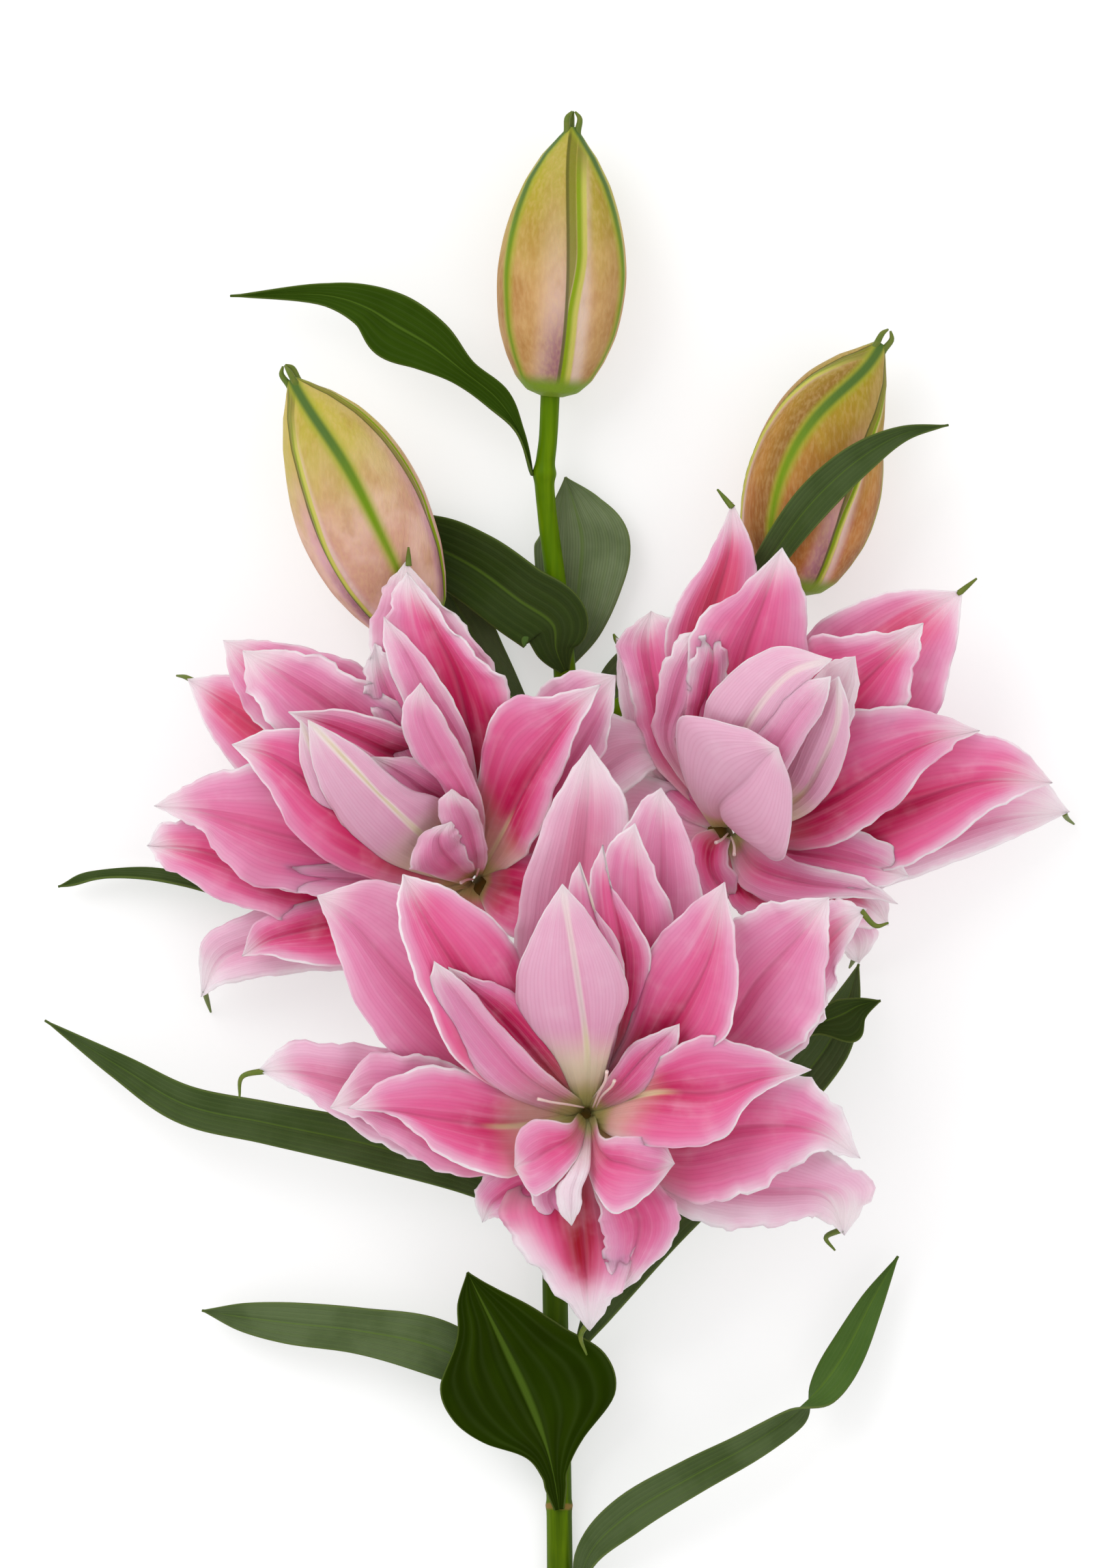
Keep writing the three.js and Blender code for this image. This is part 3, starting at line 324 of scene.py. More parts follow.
# Each pair is a share of the bud's length and the share of its radius there.
BUD_PROFILE = [
    [0, 0.17], [0.02, 0.4], [0.07, 0.6], [0.15, 0.77], [0.25, 0.91], [0.36, 0.98], [0.46, 1],
    [0.57, 0.95], [0.68, 0.84], [0.79, 0.67], [0.89, 0.43], [0.96, 0.2], [1, 0.07],
]


def bud_share(t):
    points = [Vector((x, y, 0)) for x, y in BUD_PROFILE]
    low = max(place for place, point in enumerate(points) if point.x <= t)
    low = min(low, len(points) - 2)
    w = (t - points[low].x) / (points[low + 1].x - points[low].x)
    return curve_point(points, (low + w) / (len(points) - 1)).y


def upward(along):
    return (Vector((0, 0, 1)) - along.z * along).normalized()


def bud(line, radius, turn, twist, band):
    points = vectors(line)

    def place(ring, angle):
        t = (1 - math.cos(math.pi * ring / BUD_RINGS)) / 2
        middle = curve_point(points, t)
        along = curve_way(points, t)
        across = upward(along)
        side = along.cross(across)
        width = radius * bud_share(t)
        first = math.radians(turn) + twist * t ** 3
        away = (angle - first + HALF_SEPAL) % (2 * HALF_SEPAL) - HALF_SEPAL
        rib = abs(away) * width
        seam = math.copysign(HALF_SEPAL * width - rib, -away) / band
        body = math.sin(math.pi * t)
        lime = 1.9 * smooth(0.3, 0.55, t) + 1.4
        raised = 0.5 * bulge(rib, 2.2) + 0.7 * bulge(seam - lime, 1.1)
        sunk = 0.6 * bulge(seam, 0.7) + 0.4 * bulge(seam - lime - 3, 1.3)
        reach = width * (1 + 0.035 * math.cos(3 * away) * body) + body * raised - body * sunk
        if ring in (0, BUD_RINGS):
            reach = 0
        co = middle + reach * (math.cos(angle) * across + math.sin(angle) * side)
        return co, {"rib": rib, "seam": seam, "along": t}
    return round_piece(BUD_SIDES, BUD_RINGS, place)


def hook(points, radii):
    return tube(vectors(points), radii, sides=12, steps=14)


def bud_hooks(line, turn):
    points = vectors(line)
    along = curve_way(points, 1)
    across = upward(along)
    side = along.cross(across)
    for sepal in range(3):
        angle = math.radians(turn + 120 * sepal)
        out = math.cos(angle) * across + math.sin(angle) * side
        yield hook([points[-1] + ahead * along + away * out for ahead, away in BUD_HOOK], BUD_HOOK_RADII)


def measure(tree, name):
    return add(tree, "ShaderNodeAttribute", attribute_name=name).outputs["Fac"]


def bud_skin(name, tan, peach, ochre, border, dusk):
    waxy = {"Subsurface_Weight": 0.05, "Subsurface_Scale": 0.002, "Specular_IOR_Level": 0.12}
    material, tree, shader = surface(name, 0.5, **waxy)
    rib = measure(tree, "rib")
    seam = measure(tree, "seam")
    along = measure(tree, "along")
    grain = mottle(tree, 1.1, (1, 0.3, 1), 4.0)
    off = calc(tree, "ABSOLUTE", seam)
    colour = blend(tree, fade(tree, mottle(tree, 14), 0.35, 0.65), tan, peach)
    upper = calc(tree, "MULTIPLY_ADD", mottle(tree, 10, (1, 0.4, 1)), 0.3, along)
    colour = blend(tree, fade(tree, upper, 0.5, 1.05, 0.0, 0.95), colour, ochre)
    shade = times(tree, fade(tree, seam, 2.0, 9.0), fade(tree, rib, 13, 2, 0.0, dusk))
    colour = blend(tree, shade, colour, "7A5226")
    lilac = times(tree, fade(tree, off, 2.5, 9.0, 1.0, 0.0), fade(tree, along, 0.8, 0.25, 0.1, 0.8))
    colour = blend(tree, lilac, colour, border)
    pale = times(tree, fade(tree, seam, 2.8, 3.6), fade(tree, seam, 7.0, 4.0, 0.0, 0.65))
    colour = blend(tree, times(tree, pale, fade(tree, along, 0.95, 0.7)), colour, "DCC4B4")
    mauve = times(tree, fade(tree, seam, 1.5, -1.0), fade(tree, off, 1.0, 7.5, 1.0, 0.0))
    mauve = times(tree, mauve, fade(tree, along, 0.42, 0.15, 0.0, 0.85))
    colour = blend(tree, mauve, colour, "8A5664")
    colour = blend(tree, fade(tree, mottle(tree, 5, (1, 0.5, 1)), 0.5, 0.8, 0.0, 0.3), colour, "9C6C34")
    colour = blend(tree, fade(tree, grain, 0.35, 0.75, 0.0, 0.22), colour, "E0C08A")
    place = calc(tree, "SUBTRACT", seam, fade(tree, along, 0.3, 0.55, 0.0, 1.9))
    strip = times(tree, fade(tree, seam, 0.1, 0.5), fade(tree, place, 0.4, 0.0, 0.0, 0.85))
    colour = blend(tree, strip, colour, "74761C")
    lime = times(tree, fade(tree, place, 0.1, 0.5), fade(tree, place, 3.3, 2.6))
    bright = blend(tree, fade(tree, place, 0.9, 2.2), "7E9410", "C2BC5C")
    colour = blend(tree, lime, colour, blend(tree, fade(tree, along, 0.75, 0.98), bright, "857838"))
    colour = blend(tree, fade(tree, off, 0.6, 0.2, 0.0, 0.85), colour, "4E5012")
    half = fade(tree, along, 0.15, 0.75, 0.9, 1.8)
    near = calc(tree, "SUBTRACT", rib, half)
    colour = blend(tree, fade(tree, near, -0.6, 2.4, 0.8, 0.0), colour, "98A02C")
    deep = blend(tree, fade(tree, along, 0.45, 0.85), "6C8A08", "4E6A2C")
    colour = blend(tree, fade(tree, near, -1.2, 0.5, 1.0, 0.0), colour, deep)
    colour = blend(tree, fade(tree, along, 0.1, 0.04), colour, "7C9A2A")
    put(tree, shader.inputs["Base Color"], colour)
    relief(tree, shader, calc(tree, "ADD", grain, mottle(tree, 3, (1, 0.3, 1))), 0.6, 0.4)
    return material


def hook_green(name):
    material, tree, shader = surface(name, 0.45, Specular_IOR_Level=0.25)
    colour = blend(tree, mottle(tree, 2), "456818", "76782E")
    put(tree, shader.inputs["Base Color"], colour)
    return material


# A bud's colours are its tan, its peach, the ochre towards its tip, the pink beside its seams,
# and how dusky its shaded side is.
BUD_COLOURS = {
    "bud_top": ("B08048", "C49A64", "A8A024", "D4B4A8", 0.25),
    "bud_left": ("CC9A84", "DEB4A4", "B8AC38", "D49CB0", 0.15),
    "bud_right": ("A86630", "BA7A3C", "9E8A20", "CE9CA6", 0.75),
}
green_hook = hook_green("green_hook")
for node, (line, radius, turn, twist, band) in BUDS.items():
    body = bud(line, radius, turn, twist, band)
    body.data.materials.append(bud_skin(node + "_skin", *BUD_COLOURS[node]))
    tips = list(bud_hooks(line, turn))
    for tip in tips:
        tip.data.materials.append(green_hook)
    joined(node + "_closed", [body] + tips, "bud", node)


# The leaves are thin waxy blades with a sunk midrib and fine parallel veins, darker above than
# below. Each grows from the stem, or from a pedicel, on a narrow foot. A blade starts as a flat
# grid that is bent along its midrib and given its thickness.
LEAF_THICKNESS = 0.7
LEAF_GRID = (22, 70)
LEAST_HALF_WIDTH = 0.3
FOOT_HALF_WIDTH = 1.7
FOOT_DISTANCE = 1.05
BLADE_END = 0.998


def blade(columns, rows, thickness, place, materials):
    bpy.ops.object.select_all(action="DESELECT")
    bpy.ops.mesh.primitive_grid_add(x_subdivisions=columns, y_subdivisions=rows, size=2)
    piece = bpy.context.object
    frames = {}

    def move(co):
        t = min((co.y + 1) / 2, BLADE_END)
        key = round(t * rows)
        if key not in frames:
            frames[key] = place(t)
        return frames[key](-co.x)
    shaped(piece, move)
    for material in materials:
        piece.data.materials.append(material)
    wall = piece.modifiers.new("thickness", "SOLIDIFY")
    wall.thickness = thickness / 1000
    wall.offset = 0
    wall.material_offset = 1
    bpy.ops.object.modifier_apply(modifier="thickness")
    return piece


def turned(flat, up, degrees):
    turn = math.radians(degrees)
    return math.cos(turn) * flat + math.sin(turn) * up, math.cos(turn) * up - math.sin(turn) * flat


def stem_at(y):
    low = max(place for place, point in enumerate(STEM_LINE[:-1]) if point[1] <= y)
    first, second = STEM_LINE[low], STEM_LINE[low + 1]
    w = (y - first[1]) / (second[1] - first[1])
    return [a + (b - a) * w for a, b in zip(first, second)]


def leaf_foot(y, degrees, turn):
    x, _, z, radius = stem_at(y)
    angle = math.radians(degrees)
    reach = radius + FOOT_DISTANCE
    place = [x + reach * math.cos(angle), y, z + reach * math.sin(angle)]
    return place + [FOOT_HALF_WIDTH, FOOT_HALF_WIDTH, turn]


def even_point(points, t):
    place = t * (len(points) - 1)
    low = min(int(place), len(points) - 2)
    w = place - low
    p1, p2 = points[low], points[low + 1]
    p0 = points[low - 1] if low else 2 * p1 - p2
    p3 = points[low + 2] if low + 2 < len(points) else 2 * p2 - p1
    m1, m2 = (p2 - p0) / 2, (p3 - p1) / 2
    return p1 + w * m1 + w * w * (3 * (p2 - p1) - 2 * m1 - m2) + w ** 3 * (2 * (p1 - p2) + m1 + m2)


def leaf(line, fold, wave, shade, grey, materials):
    points = vectors(line)
    edges = [Vector(point[3:]) for point in line]

    def place(t):
        along = curve_way(points, t)
        up = upward(along)
        edge = even_point(edges, t)
        across, face = turned(up.cross(along), up, edge.z)
        middle = curve_point(points, t)

        def point(s):
            half = max(edge.x if s > 0 else edge.y, LEAST_HALF_WIDTH)
            reach = abs(s) * half
            curl = 0.15 * abs(s) + 1e-6
            out = math.copysign(reach * math.sin(curl) / curl, s)
            rise = reach * ((1 - math.cos(curl)) / curl + fold)
            rise += wave * s * s * math.sin(3.4 * math.pi * t + (2 if s < 0 else 0)) * math.sin(math.pi * t)
            rise -= 0.5 * bulge(reach, 0.9) * math.sin(math.pi * t) ** 0.3
            co = middle + out * across + rise * face
            return co, {"shade": shade, "grey": grey, "edge": half - reach}
        return point
    return blade(*LEAF_GRID, LEAF_THICKNESS, place, materials)


# A leaf's numbers are its foot on the stem (how high, in which direction, turned how far), the
# points of its midrib, how far it is folded, how waved it is, how light its green is and how
# grey. How light its green is holds the leaf's own tone and painted shade: the front leaf, which
# lies in shadow, is painted darkest. A point has x, y, z, its half widths to the left and right,
# and the turn of the blade.
LEAVES = {
    "leaf_top_left": ((136, 180, 90), [
        [-13, 150, 22, 1.8, 1.8, 40], [-20, 160.5, 25, 4, 4.5, 0], [-31, 169.5, 29, 5, 4.5, 0],
        [-42, 178, 32, 9, 8.5, 0], [-53, 184.5, 32, 11.5, 10, 0], [-63, 190.5, 29, 6.5, 7.5, 0],
        [-76, 194.5, 24, 3.5, 4, 0], [-108, 194.5, 15, 0, 0, 0]], 0.2, 0.8, 0.65, 0.02),
    "leaf_behind": ((73, 270, 0), [
        [5, 86, 8, 9, 9, 0], [6.5, 100, 6.5, 14, 14, 0], [7.5, 115, 6.5, 15.5, 15.5, 0],
        [5, 126, 8, 9, 9, 0], [2, 135.5, 9, 0, 0, 0]], 0.08, 0.8, 0.45, 0.95),
    "leaf_dark": ((72, 90, 0), [
        [-1, 79, 23, 6.5, 6.5, 0], [-2, 87, 25, 12, 12, 0], [-13, 95, 24, 12, 12, 0],
        [-28, 106, 15, 11.5, 11.5, 0], [-44, 114, 6.5, 9.5, 9.5, 0],
        [-76, 126, 5, 0, 0, 0]], 0.15, 0.6, 0.1, 0.1),
    "leaf_tuck": ((36, 200, 75), [
        [-12, 56, 7, 4, 4, 20], [-24, 76, 6, 7, 7, 0], [-31, 89, 6, 7, 7, 0],
        [-39, 103, 8, 0, 0, 0]], 0.1, 0.5, 0.3, 0.5),
    "leaf_between": ((40, -20, -80), [
        [12, 56, 7, 4, 4, -20], [22, 68, 6.5, 9, 9, 0], [36, 80, 6.5, 8, 8, 0],
        [52, 90, 8, 0, 0, 0]], 0.1, 0.5, 0.3, 0.5),
    "leaf_left_high": ((-34, 180, 0), [
        [-30, -22, 7, 6, 6, 0], [-70, -9, 7, 7, 7, 30], [-108, -1, 8.5, 7, 7, 70],
        [-135, 4.5, 9, 6, 6, 72], [-153, 4.5, 8, 3, 3, 60], [-164, 1.5, 7, 0, 0, 0]], 0.15, 0.5, 0.45, 0.2),
    "leaf_left_long": ((-109, 170, 75), [
        [-26, -93.5, 19, 6.5, 6.5, 0], [-60, -83, 26, 7.6, 7.6, 0], [-95, -75.5, 27, 6.9, 6.9, 0],
        [-122, -69.5, 24, 6.3, 6.3, 0], [-143, -57.5, 17, 4.2, 4.2, 0],
        [-168.5, -42, 8, 0, 0, 0]], 0.2, 0.8, 0.35, 0.25),
    "leaf_right_long": ((-156, 20, -90), [
        [12, -138, 14, 4, 6, -30], [28, -114.5, 21, 6.5, 8.5, 0], [58, -84, 22, 8, 8, 0],
        [87, -51, 18, 7.8, 7.8, 0], [94, -36, 15, 4.5, 4.5, 0],
        [98, -23.5, 12, 0, 0, 0]], 0.2, 0.8, 0.3, 0.3),
    "leaf_low_left": ((-174, 150, 110), [
        [-18, -161, 13, 6, 6, 10], [-40, -149, 17, 9.3, 9.3, 0], [-65, -143.5, 17, 7.6, 7.6, 0],
        [-88, -141, 14, 6.8, 6.8, 0], [-104, -139, 11, 4.5, 4.5, 0],
        [-117, -137, 8, 0, 0, 0]], 0.15, 0.6, 0.5, 0.5),
    "leaf_front": ((-202, 90, 0), [
        [-1, -195, 11, 3.5, 3.5, 0], [-2, -190, 12.5, 4, 5, 0], [-4, -182, 15, 8, 12, 0],
        [-7.5, -172, 18.5, 19.3, 27, 0], [-12, -161, 22, 25.5, 29, 0], [-17, -150, 24, 24.5, 20, 0],
        [-22, -140, 25, 12.8, 12.8, 0], [-26.5, -131, 24.8, 7.4, 5.2, 0],
        [-30, -124, 24, 0, 0, 0]], 0.12, 0.6, 0.0, 0.0),
    "leaf_low_right": ((-236, 10, -95), [
        [9.7, -217, 10, 4.5, 4.5, -30], [22.6, -203.6, 15, 6.5, 6.5, 0], [43, -191.2, 20, 6, 6, 0],
        [62.4, -180.6, 21, 5.2, 5.2, 15], [76.5, -171, 20, 5, 5, 50], [84.5, -163.5, 19, 6.5, 6.5, 130],
        [93, -151.5, 16.5, 6.3, 6.3, 165], [102.5, -133.5, 12.5, 3.8, 3.8, 170],
        [111, -119, 10, 0, 0, 170]], 0.2, 0.6, 0.4, 0.35),
    "leaf_bud_right": (None, [
        [57.2, 85.2, 22.3, 2, 2, 0], [64, 100, 34, 4, 4, 0], [72.5, 114, 44, 5.3, 5.3, 0],
        [84, 128.5, 49, 6.2, 6.2, 0], [98, 141, 49, 5.2, 5.2, 0], [112, 149, 46, 2.6, 2.6, 0],
        [127, 152, 41, 0, 0, 0]], 0.15, 0.4, 0.3, 0.25),
    "leaf_bloom_centre": (None, [
        [7.8, -79, 31.8, 2.2, 2.2, 0], [34, -64, 38, 5, 5, 0], [60, -54, 38, 5, 5, 0],
        [82, -44, 33, 4, 3, 0], [92, -40, 31, 5, 10, 0], [98, -37, 30, 2.5, 5, 0],
        [105, -35.5, 29, 0, 0, 0]], 0.2, 0.4, 0.2, 0.1),
}


def flat_place(tree):
    return add(tree, "ShaderNodeSeparateXYZ", {"Vector": add(tree, "ShaderNodeUVMap").outputs[0]}).outputs


def lengthwise_veins():
    group = bpy.data.node_groups.new("lengthwise_veins", "ShaderNodeTree")
    group.interface.new_socket("Count", in_out="INPUT", socket_type="NodeSocketFloat")
    group.interface.new_socket("Wobble", in_out="INPUT", socket_type="NodeSocketFloat")
    group.interface.new_socket("Line", in_out="OUTPUT", socket_type="NodeSocketFloat")
    group.interface.new_socket("Streak", in_out="OUTPUT", socket_type="NodeSocketFloat")
    given = group.nodes.new("NodeGroupInput")
    result = group.nodes.new("NodeGroupOutput")
    side, length = flat_place(group)[:2]
    loose = {"X": times(group, side, 9.0), "Y": times(group, length, 3.0)}
    loose_place = add(group, "ShaderNodeCombineXYZ", loose).outputs[0]
    wander = {"Vector": loose_place, "Scale": 1.0, "Detail": 1.0}
    drift = add(group, "ShaderNodeTexNoise", wander).outputs[0]
    bent = calc(group, "ADD", side, times(group, drift, given.outputs["Wobble"]))
    turns = times(group, bent, times(group, given.outputs["Count"], 2 * math.pi))
    wave = calc(group, "MULTIPLY_ADD", calc(group, "COSINE", turns), 0.5, 0.5)
    put(group, result.inputs["Line"], calc(group, "POWER", wave, 3.0))
    narrow = {"X": times(group, bent, given.outputs["Count"]), "Y": times(group, length, 2.0)}
    narrow_place = add(group, "ShaderNodeCombineXYZ", narrow).outputs[0]
    streak = add(group, "ShaderNodeTexNoise", {"Vector": narrow_place, "Scale": 1.0, "Detail": 2.0})
    put(group, result.inputs["Streak"], streak.outputs[0])
    return group


veins = lengthwise_veins()


def vein_lines(tree, count, wobble):
    node = add(tree, "ShaderNodeGroup", node_tree=veins)
    node.inputs["Count"].default_value = count
    node.inputs["Wobble"].default_value = wobble
    return node.outputs["Line"], node.outputs["Streak"]


def leaf_skin(name, under):
    material, tree, shader = surface(name, 0.5 if under else 0.42, Specular_IOR_Level=0.01)
    grey = measure(tree, "grey")
    edge = measure(tree, "edge")
    from_midrib = calc(tree, "ABSOLUTE", calc(tree, "SUBTRACT", flat_place(tree)[0], 0.5))
    cloud = mottle(tree, 16)
    line, streak = vein_lines(tree, 9.0, 0.03)
    fine, _ = vein_lines(tree, 34.0, 0.02)
    if under:
        colour = blend(tree, cloud, "3F5C26", "547036")
    else:
        # The shade value sets how light the green is: partly the leaf's own tone, partly painted shade,
        # darkest on the front leaf, which lies in shadow.
        colour = blend(tree, measure(tree, "shade"), "1C2A00", "345006")
        colour = blend(tree, grey, colour, "7A8864")
        colour = blend(tree, fade(tree, cloud, 0.35, 0.7, 0.0, 0.35), colour, "203400")
    colour = blend(tree, fade(tree, streak, 0.4, 0.75, 0.0, 0.14), colour, "48620E")
    shown = calc(tree, "MULTIPLY_ADD", grey, 0.16, 0.05)
    colour = blend(tree, times(tree, line, shown), colour, "6A7E48")
    colour = blend(tree, times(tree, fine, shown), colour, "1C2E06")
    colour = blend(tree, fade(tree, from_midrib, 0.008, 0.035, 0.45, 0.0), colour, "5E7A28")
    colour = blend(tree, fade(tree, edge, 0.15, 0.5, 0.4, 0.0), colour, "6C7C3C")
    put(tree, shader.inputs["Base Color"], colour)
    relief(tree, shader, calc(tree, "SUBTRACT", times(tree, fine, 0.3), line), 0.5, 0.25)
    return material


leaf_sides = [leaf_skin("leaf_upper_side", False), leaf_skin("leaf_underside", True)]
for node, (foot, line, fold, wave, shade, grey) in LEAVES.items():
    points = [leaf_foot(*foot)] + line if foot else line
    joined(node + "_blade", [leaf(points, fold, wave, shade, grey, leaf_sides)], "leaf", node)


# Each open bloom is double: outer sepals, petals and petal-like inner lobes all grow from one
# green cup. A petal is a soft thin blade, hot pink along its midline and white at its waved
# rim. The outer sepals are salmon with a green hook at the tip.
PETAL_THICKNESS = 0.5
PETAL_GRID = (24, 46)
SMALL_PETAL_GRID = (16, 30)
SMALL_PETAL_WIDTH = 17
# A petal starts so far out from its bloom's root, and so far below it.
PETAL_START_OUT = 1.5
PETAL_START_BELOW = 2
# A bloom's cup is narrow at both ends and lies behind the point that its petals grow from.
CUP_DEPTHS = [9, 4.5, 1.5]
CUP_RADII = [3.6, 6, 3]
FILAMENT_RADII = [0.3, 0.4, 0.45, 0.6]
CLAW_RADII = [1.1, 0.82, 0.35]
BLOOM_ROOTS = {"bloom_centre": [9, -72, 47], "bloom_left": [-27, 4, 28], "bloom_right": [56, 20, 30]}
# A look says how salmon a petal is, how cream its foot is, how pale the line along its middle
# is, and how wide its white rim is.
LOOKS = {
    "ridge": (0.0, 0.8, 1.0, 0.9), "crest": (0.0, 0.8, 0.8, 0.9), "heart": (0.0, 0.7, 0.2, 1.0),
    "pale": (0.0, 0.4, 0.35, 1.0), "pink": (0.0, 0.4, 0.3, 1.0), "hot": (0.0, 0.4, 0.2, 1.0),
    "sepal": (0.75, 0.4, 0.2, 1.4), "cream": (0.45, 0.6, 0.5, 2.4), "faint": (1.0, 0.5, 0.5, 1.8),
    "blush": (1.0, 0.3, 0.2, 2.9), "white": (0.0, 0.3, 0.5, 6.0),
}
# A petal's numbers are three points of its midrib and its tip, three points of its left edge and
# three of its right edge seen from above, how far each edge rises above the midrib as a share of
# its distance from it, the petal's look, how hot its pink is, and how waved it is.
PETALS = {}
PETALS["bloom_centre"] = [
    ([9, -50, 78], [6, -28, 99], [3, -10, 112], [1, 3, 118],
     [-10, -51], [-14.5, -30], [-7, -10], [17, -51], [22.5, -31], [11, -9], -0.25, -0.3, "crest", 0.1, 0.2),
    ([13, -46, 72], [14, -22, 92], [11, -4, 103], [6.5, 10, 108],
     [4, -46], [4, -22], [3, 1], [19, -45], [20.5, -20], [9.5, -2], 0.2, -0.1, "pink", 0.4, 0.3),
    ([18, -44, 68], [20, -20, 87], [17, 0, 97], [14, 15.5, 102],
     [8, -44], [10, -20], [10, 4], [26, -42], [29, -19], [17, 2], 0.2, 0.3, "hot", 0.8, 0.3),
    ([22, -42, 64], [26, -16, 80], [25, 6, 90], [24.5, 22.5, 95],
     [14, -42], [12, -10], [16, 14], [32, -42], [37, -12], [31, 6], 0.2, 0.3, "pink", 0.5, 0.4),
    ([26, -36, 60], [32, -6, 74], [33, 18, 83], [33, 34, 86],
     [16, -34], [16, 4], [25, 27], [40, -36], [46, -4], [41, 20], 0.2, 0.2, "pale", 0.3, 0.4),
    ([6, -36, 59], [7, -4, 72], [9, 26, 80], [10, 48, 82],
     [-12, -36], [-13, -4], [-2, 29], [18, -34], [20, 0], [22, 27], 0.2, 0.2, "faint", 0.22, 0.4),
    ([28, -54, 66], [40, -38, 80], [49, -20, 90], [53.5, 3.5, 97],
     [22, -44], [28, -21], [41, -6], [38, -58], [53.5, -44], [56.5, -20], 0.25, 0.9, "hot", 0.8, 0.3),
    ([48, -50, 64], [64, -29, 74], [78, -14, 79], [87.5, -1.5, 80],
     [46, -34], [56, -11], [71, -3.5], [62, -57], [82, -44], [87, -20], 0.3, 0.3, "hot", 0.42, 0.7),
    ([52, -48, 52], [74, -28, 61], [90, -13, 64], [100, -5.5, 60],
     [50, -30], [72, -8], [89, -2.5], [68, -58], [85, -42], [90, -25], 0.2, 0.2, "sepal", 0.5, 1.0),
    ([30, -65, 73], [50, -65, 82], [67, -60, 82], [82, -57.5, 77],
     [28, -57], [46, -46.5], [66, -51.5], [22, -80.5], [48, -81.5], [63.5, -66], 0.3, 0.35, "heart", 0.7, 0.5),
    ([35, -80, 60], [60, -76, 69], [82, -77, 68], [98, -86.5, 60],
     [40, -66], [70, -58], [89, -68], [40, -99.5], [64, -96], [82, -85], 0.25, 0.25, "pink", 0.6, 1.2),
    ([40, -90, 50], [64, -96, 56], [86, -98, 50], [93, -112, 33],
     [50, -78], [82, -83], [102, -96], [38, -104], [60, -109.5], [83, -106], 0.1, 0.0, "cream", 0.2, 1.2),
    ([19, -63, 66], [26, -55, 75], [33, -48, 81], [39, -42.5, 84],
     [16, -60], [23, -50], [31, -45.5], [25, -66], [34, -58], [38.5, -49], 0.2, 0.3, "pink", 0.5, 0.2),
    ([-24, -54, 64], [-48, -31, 78], [-66, -11, 84], [-78.5, -1, 86],
     [-42, -61], [-63.5, -40], [-73, -15], [-12, -38], [-34, -8], [-58, 3.5], 0.2, 0.2, "pale", 0.4, 0.3),
    ([-14, -54, 72], [-30, -30, 90], [-43, -9, 101], [-50.5, 6, 106],
     [-30, -57], [-44, -30], [-51, -7], [-6, -38], [-17, -14], [-36, 1], 0.9, 0.3, "hot", 0.88, 0.3),
    ([-10, -60, 76], [-23, -46, 88], [-34, -32, 98], [-40.5, -22, 102],
     [-18, -65], [-33, -49], [-41, -31], [-3, -60], [-18, -44], [-31, -29], 0.2, 0.1, "pale", 0.3, 0.3),
    ([-6, -56, 72], [-18, -42, 84], [-29, -31, 93], [-36, -24, 97],
     [-12, -60], [-26, -46], [-33, -33], [2, -50], [-14, -33], [-26, -28], 0.2, 0.3, "hot", 1.0, 0.3),
    ([-16, -76, 68], [-36, -74, 79], [-54, -71, 80], [-68.5, -70, 75],
     [-15, -92], [-38, -85], [-52, -73], [-16, -63], [-37, -57], [-56, -61], 0.35, 0.35, "heart", 0.68, 0.5),
    ([-24, -76, 62], [-45, -72, 71], [-62, -69, 71], [-74.5, -70, 66],
     [-28, -92.5], [-48, -84], [-63, -74.5], [-24, -60], [-42, -54], [-62, -53.5], 0.2, 0.3, "pink", 0.6, 0.8),
    ([-34, -71, 54], [-60, -65, 61], [-82, -60, 61], [-98, -58, 55],
     [-40, -87], [-62, -79], [-82, -66.5], [-36, -54], [-62, -50], [-87, -49], 0.2, 0.3, "sepal", 0.25, 0.7),
    ([3, -80, 73], [-4, -84, 79], [-9, -87, 79], [-14.5, -89, 75],
     [6, -86], [-1, -94], [-8.5, -98], [3, -75], [-6, -73.5], [-13.5, -78.5], 0.2, 0.2, "pink", 0.5, 0.3),
    ([14, -85, 73], [22, -88, 80], [30, -90, 80], [37.5, -88, 75],
     [14, -79.5], [23, -79], [33.5, -81], [11, -96], [18, -103], [28.5, -98], 0.2, 0.3, "hot", 0.5, 0.4),
    ([7, -88, 77], [4.5, -96, 81], [4, -102, 80], [4, -108, 73],
     [10, -88], [7.5, -96], [7, -102], [3, -89], [-1, -96], [0, -103], -0.2, -0.3, "white", 0.0, 0.2),
    ([7, -97, 62], [8, -114, 61], [9, -130, 52], [10, -143, 38],
     [20, -97], [25, -115], [18, -132], [-19, -101], [-14, -114], [-1.5, -130], -0.1, -0.1, "blush", 1.0, 1.0),
    ([20, -95, 66], [26, -107, 64], [24, -119, 56], [19, -131, 46],
     [33, -95], [39.5, -107], [31.5, -120.5], [12, -100], [15, -112], [16, -122], 0.0, 0.3, "pink", 0.55, 0.8),
    ([-6, -92, 60], [-14, -96, 58], [-21, -101, 52], [-25, -107.5, 44],
     [-4, -101], [-11, -106], [-19, -105], [-10, -86], [-20, -89], [-27.5, -97], 0.0, 0.0, "pink", 0.6, 1.0),
    ([1, -92, 66], [-3, -98, 68], [-1, -104, 64], [2, -108, 58],
     [6, -92], [4, -99], [4, -105], [-6, -92], [-9, -99], [-6, -104.5], 0.1, 0.1, "pale", 0.3, 0.5),
]
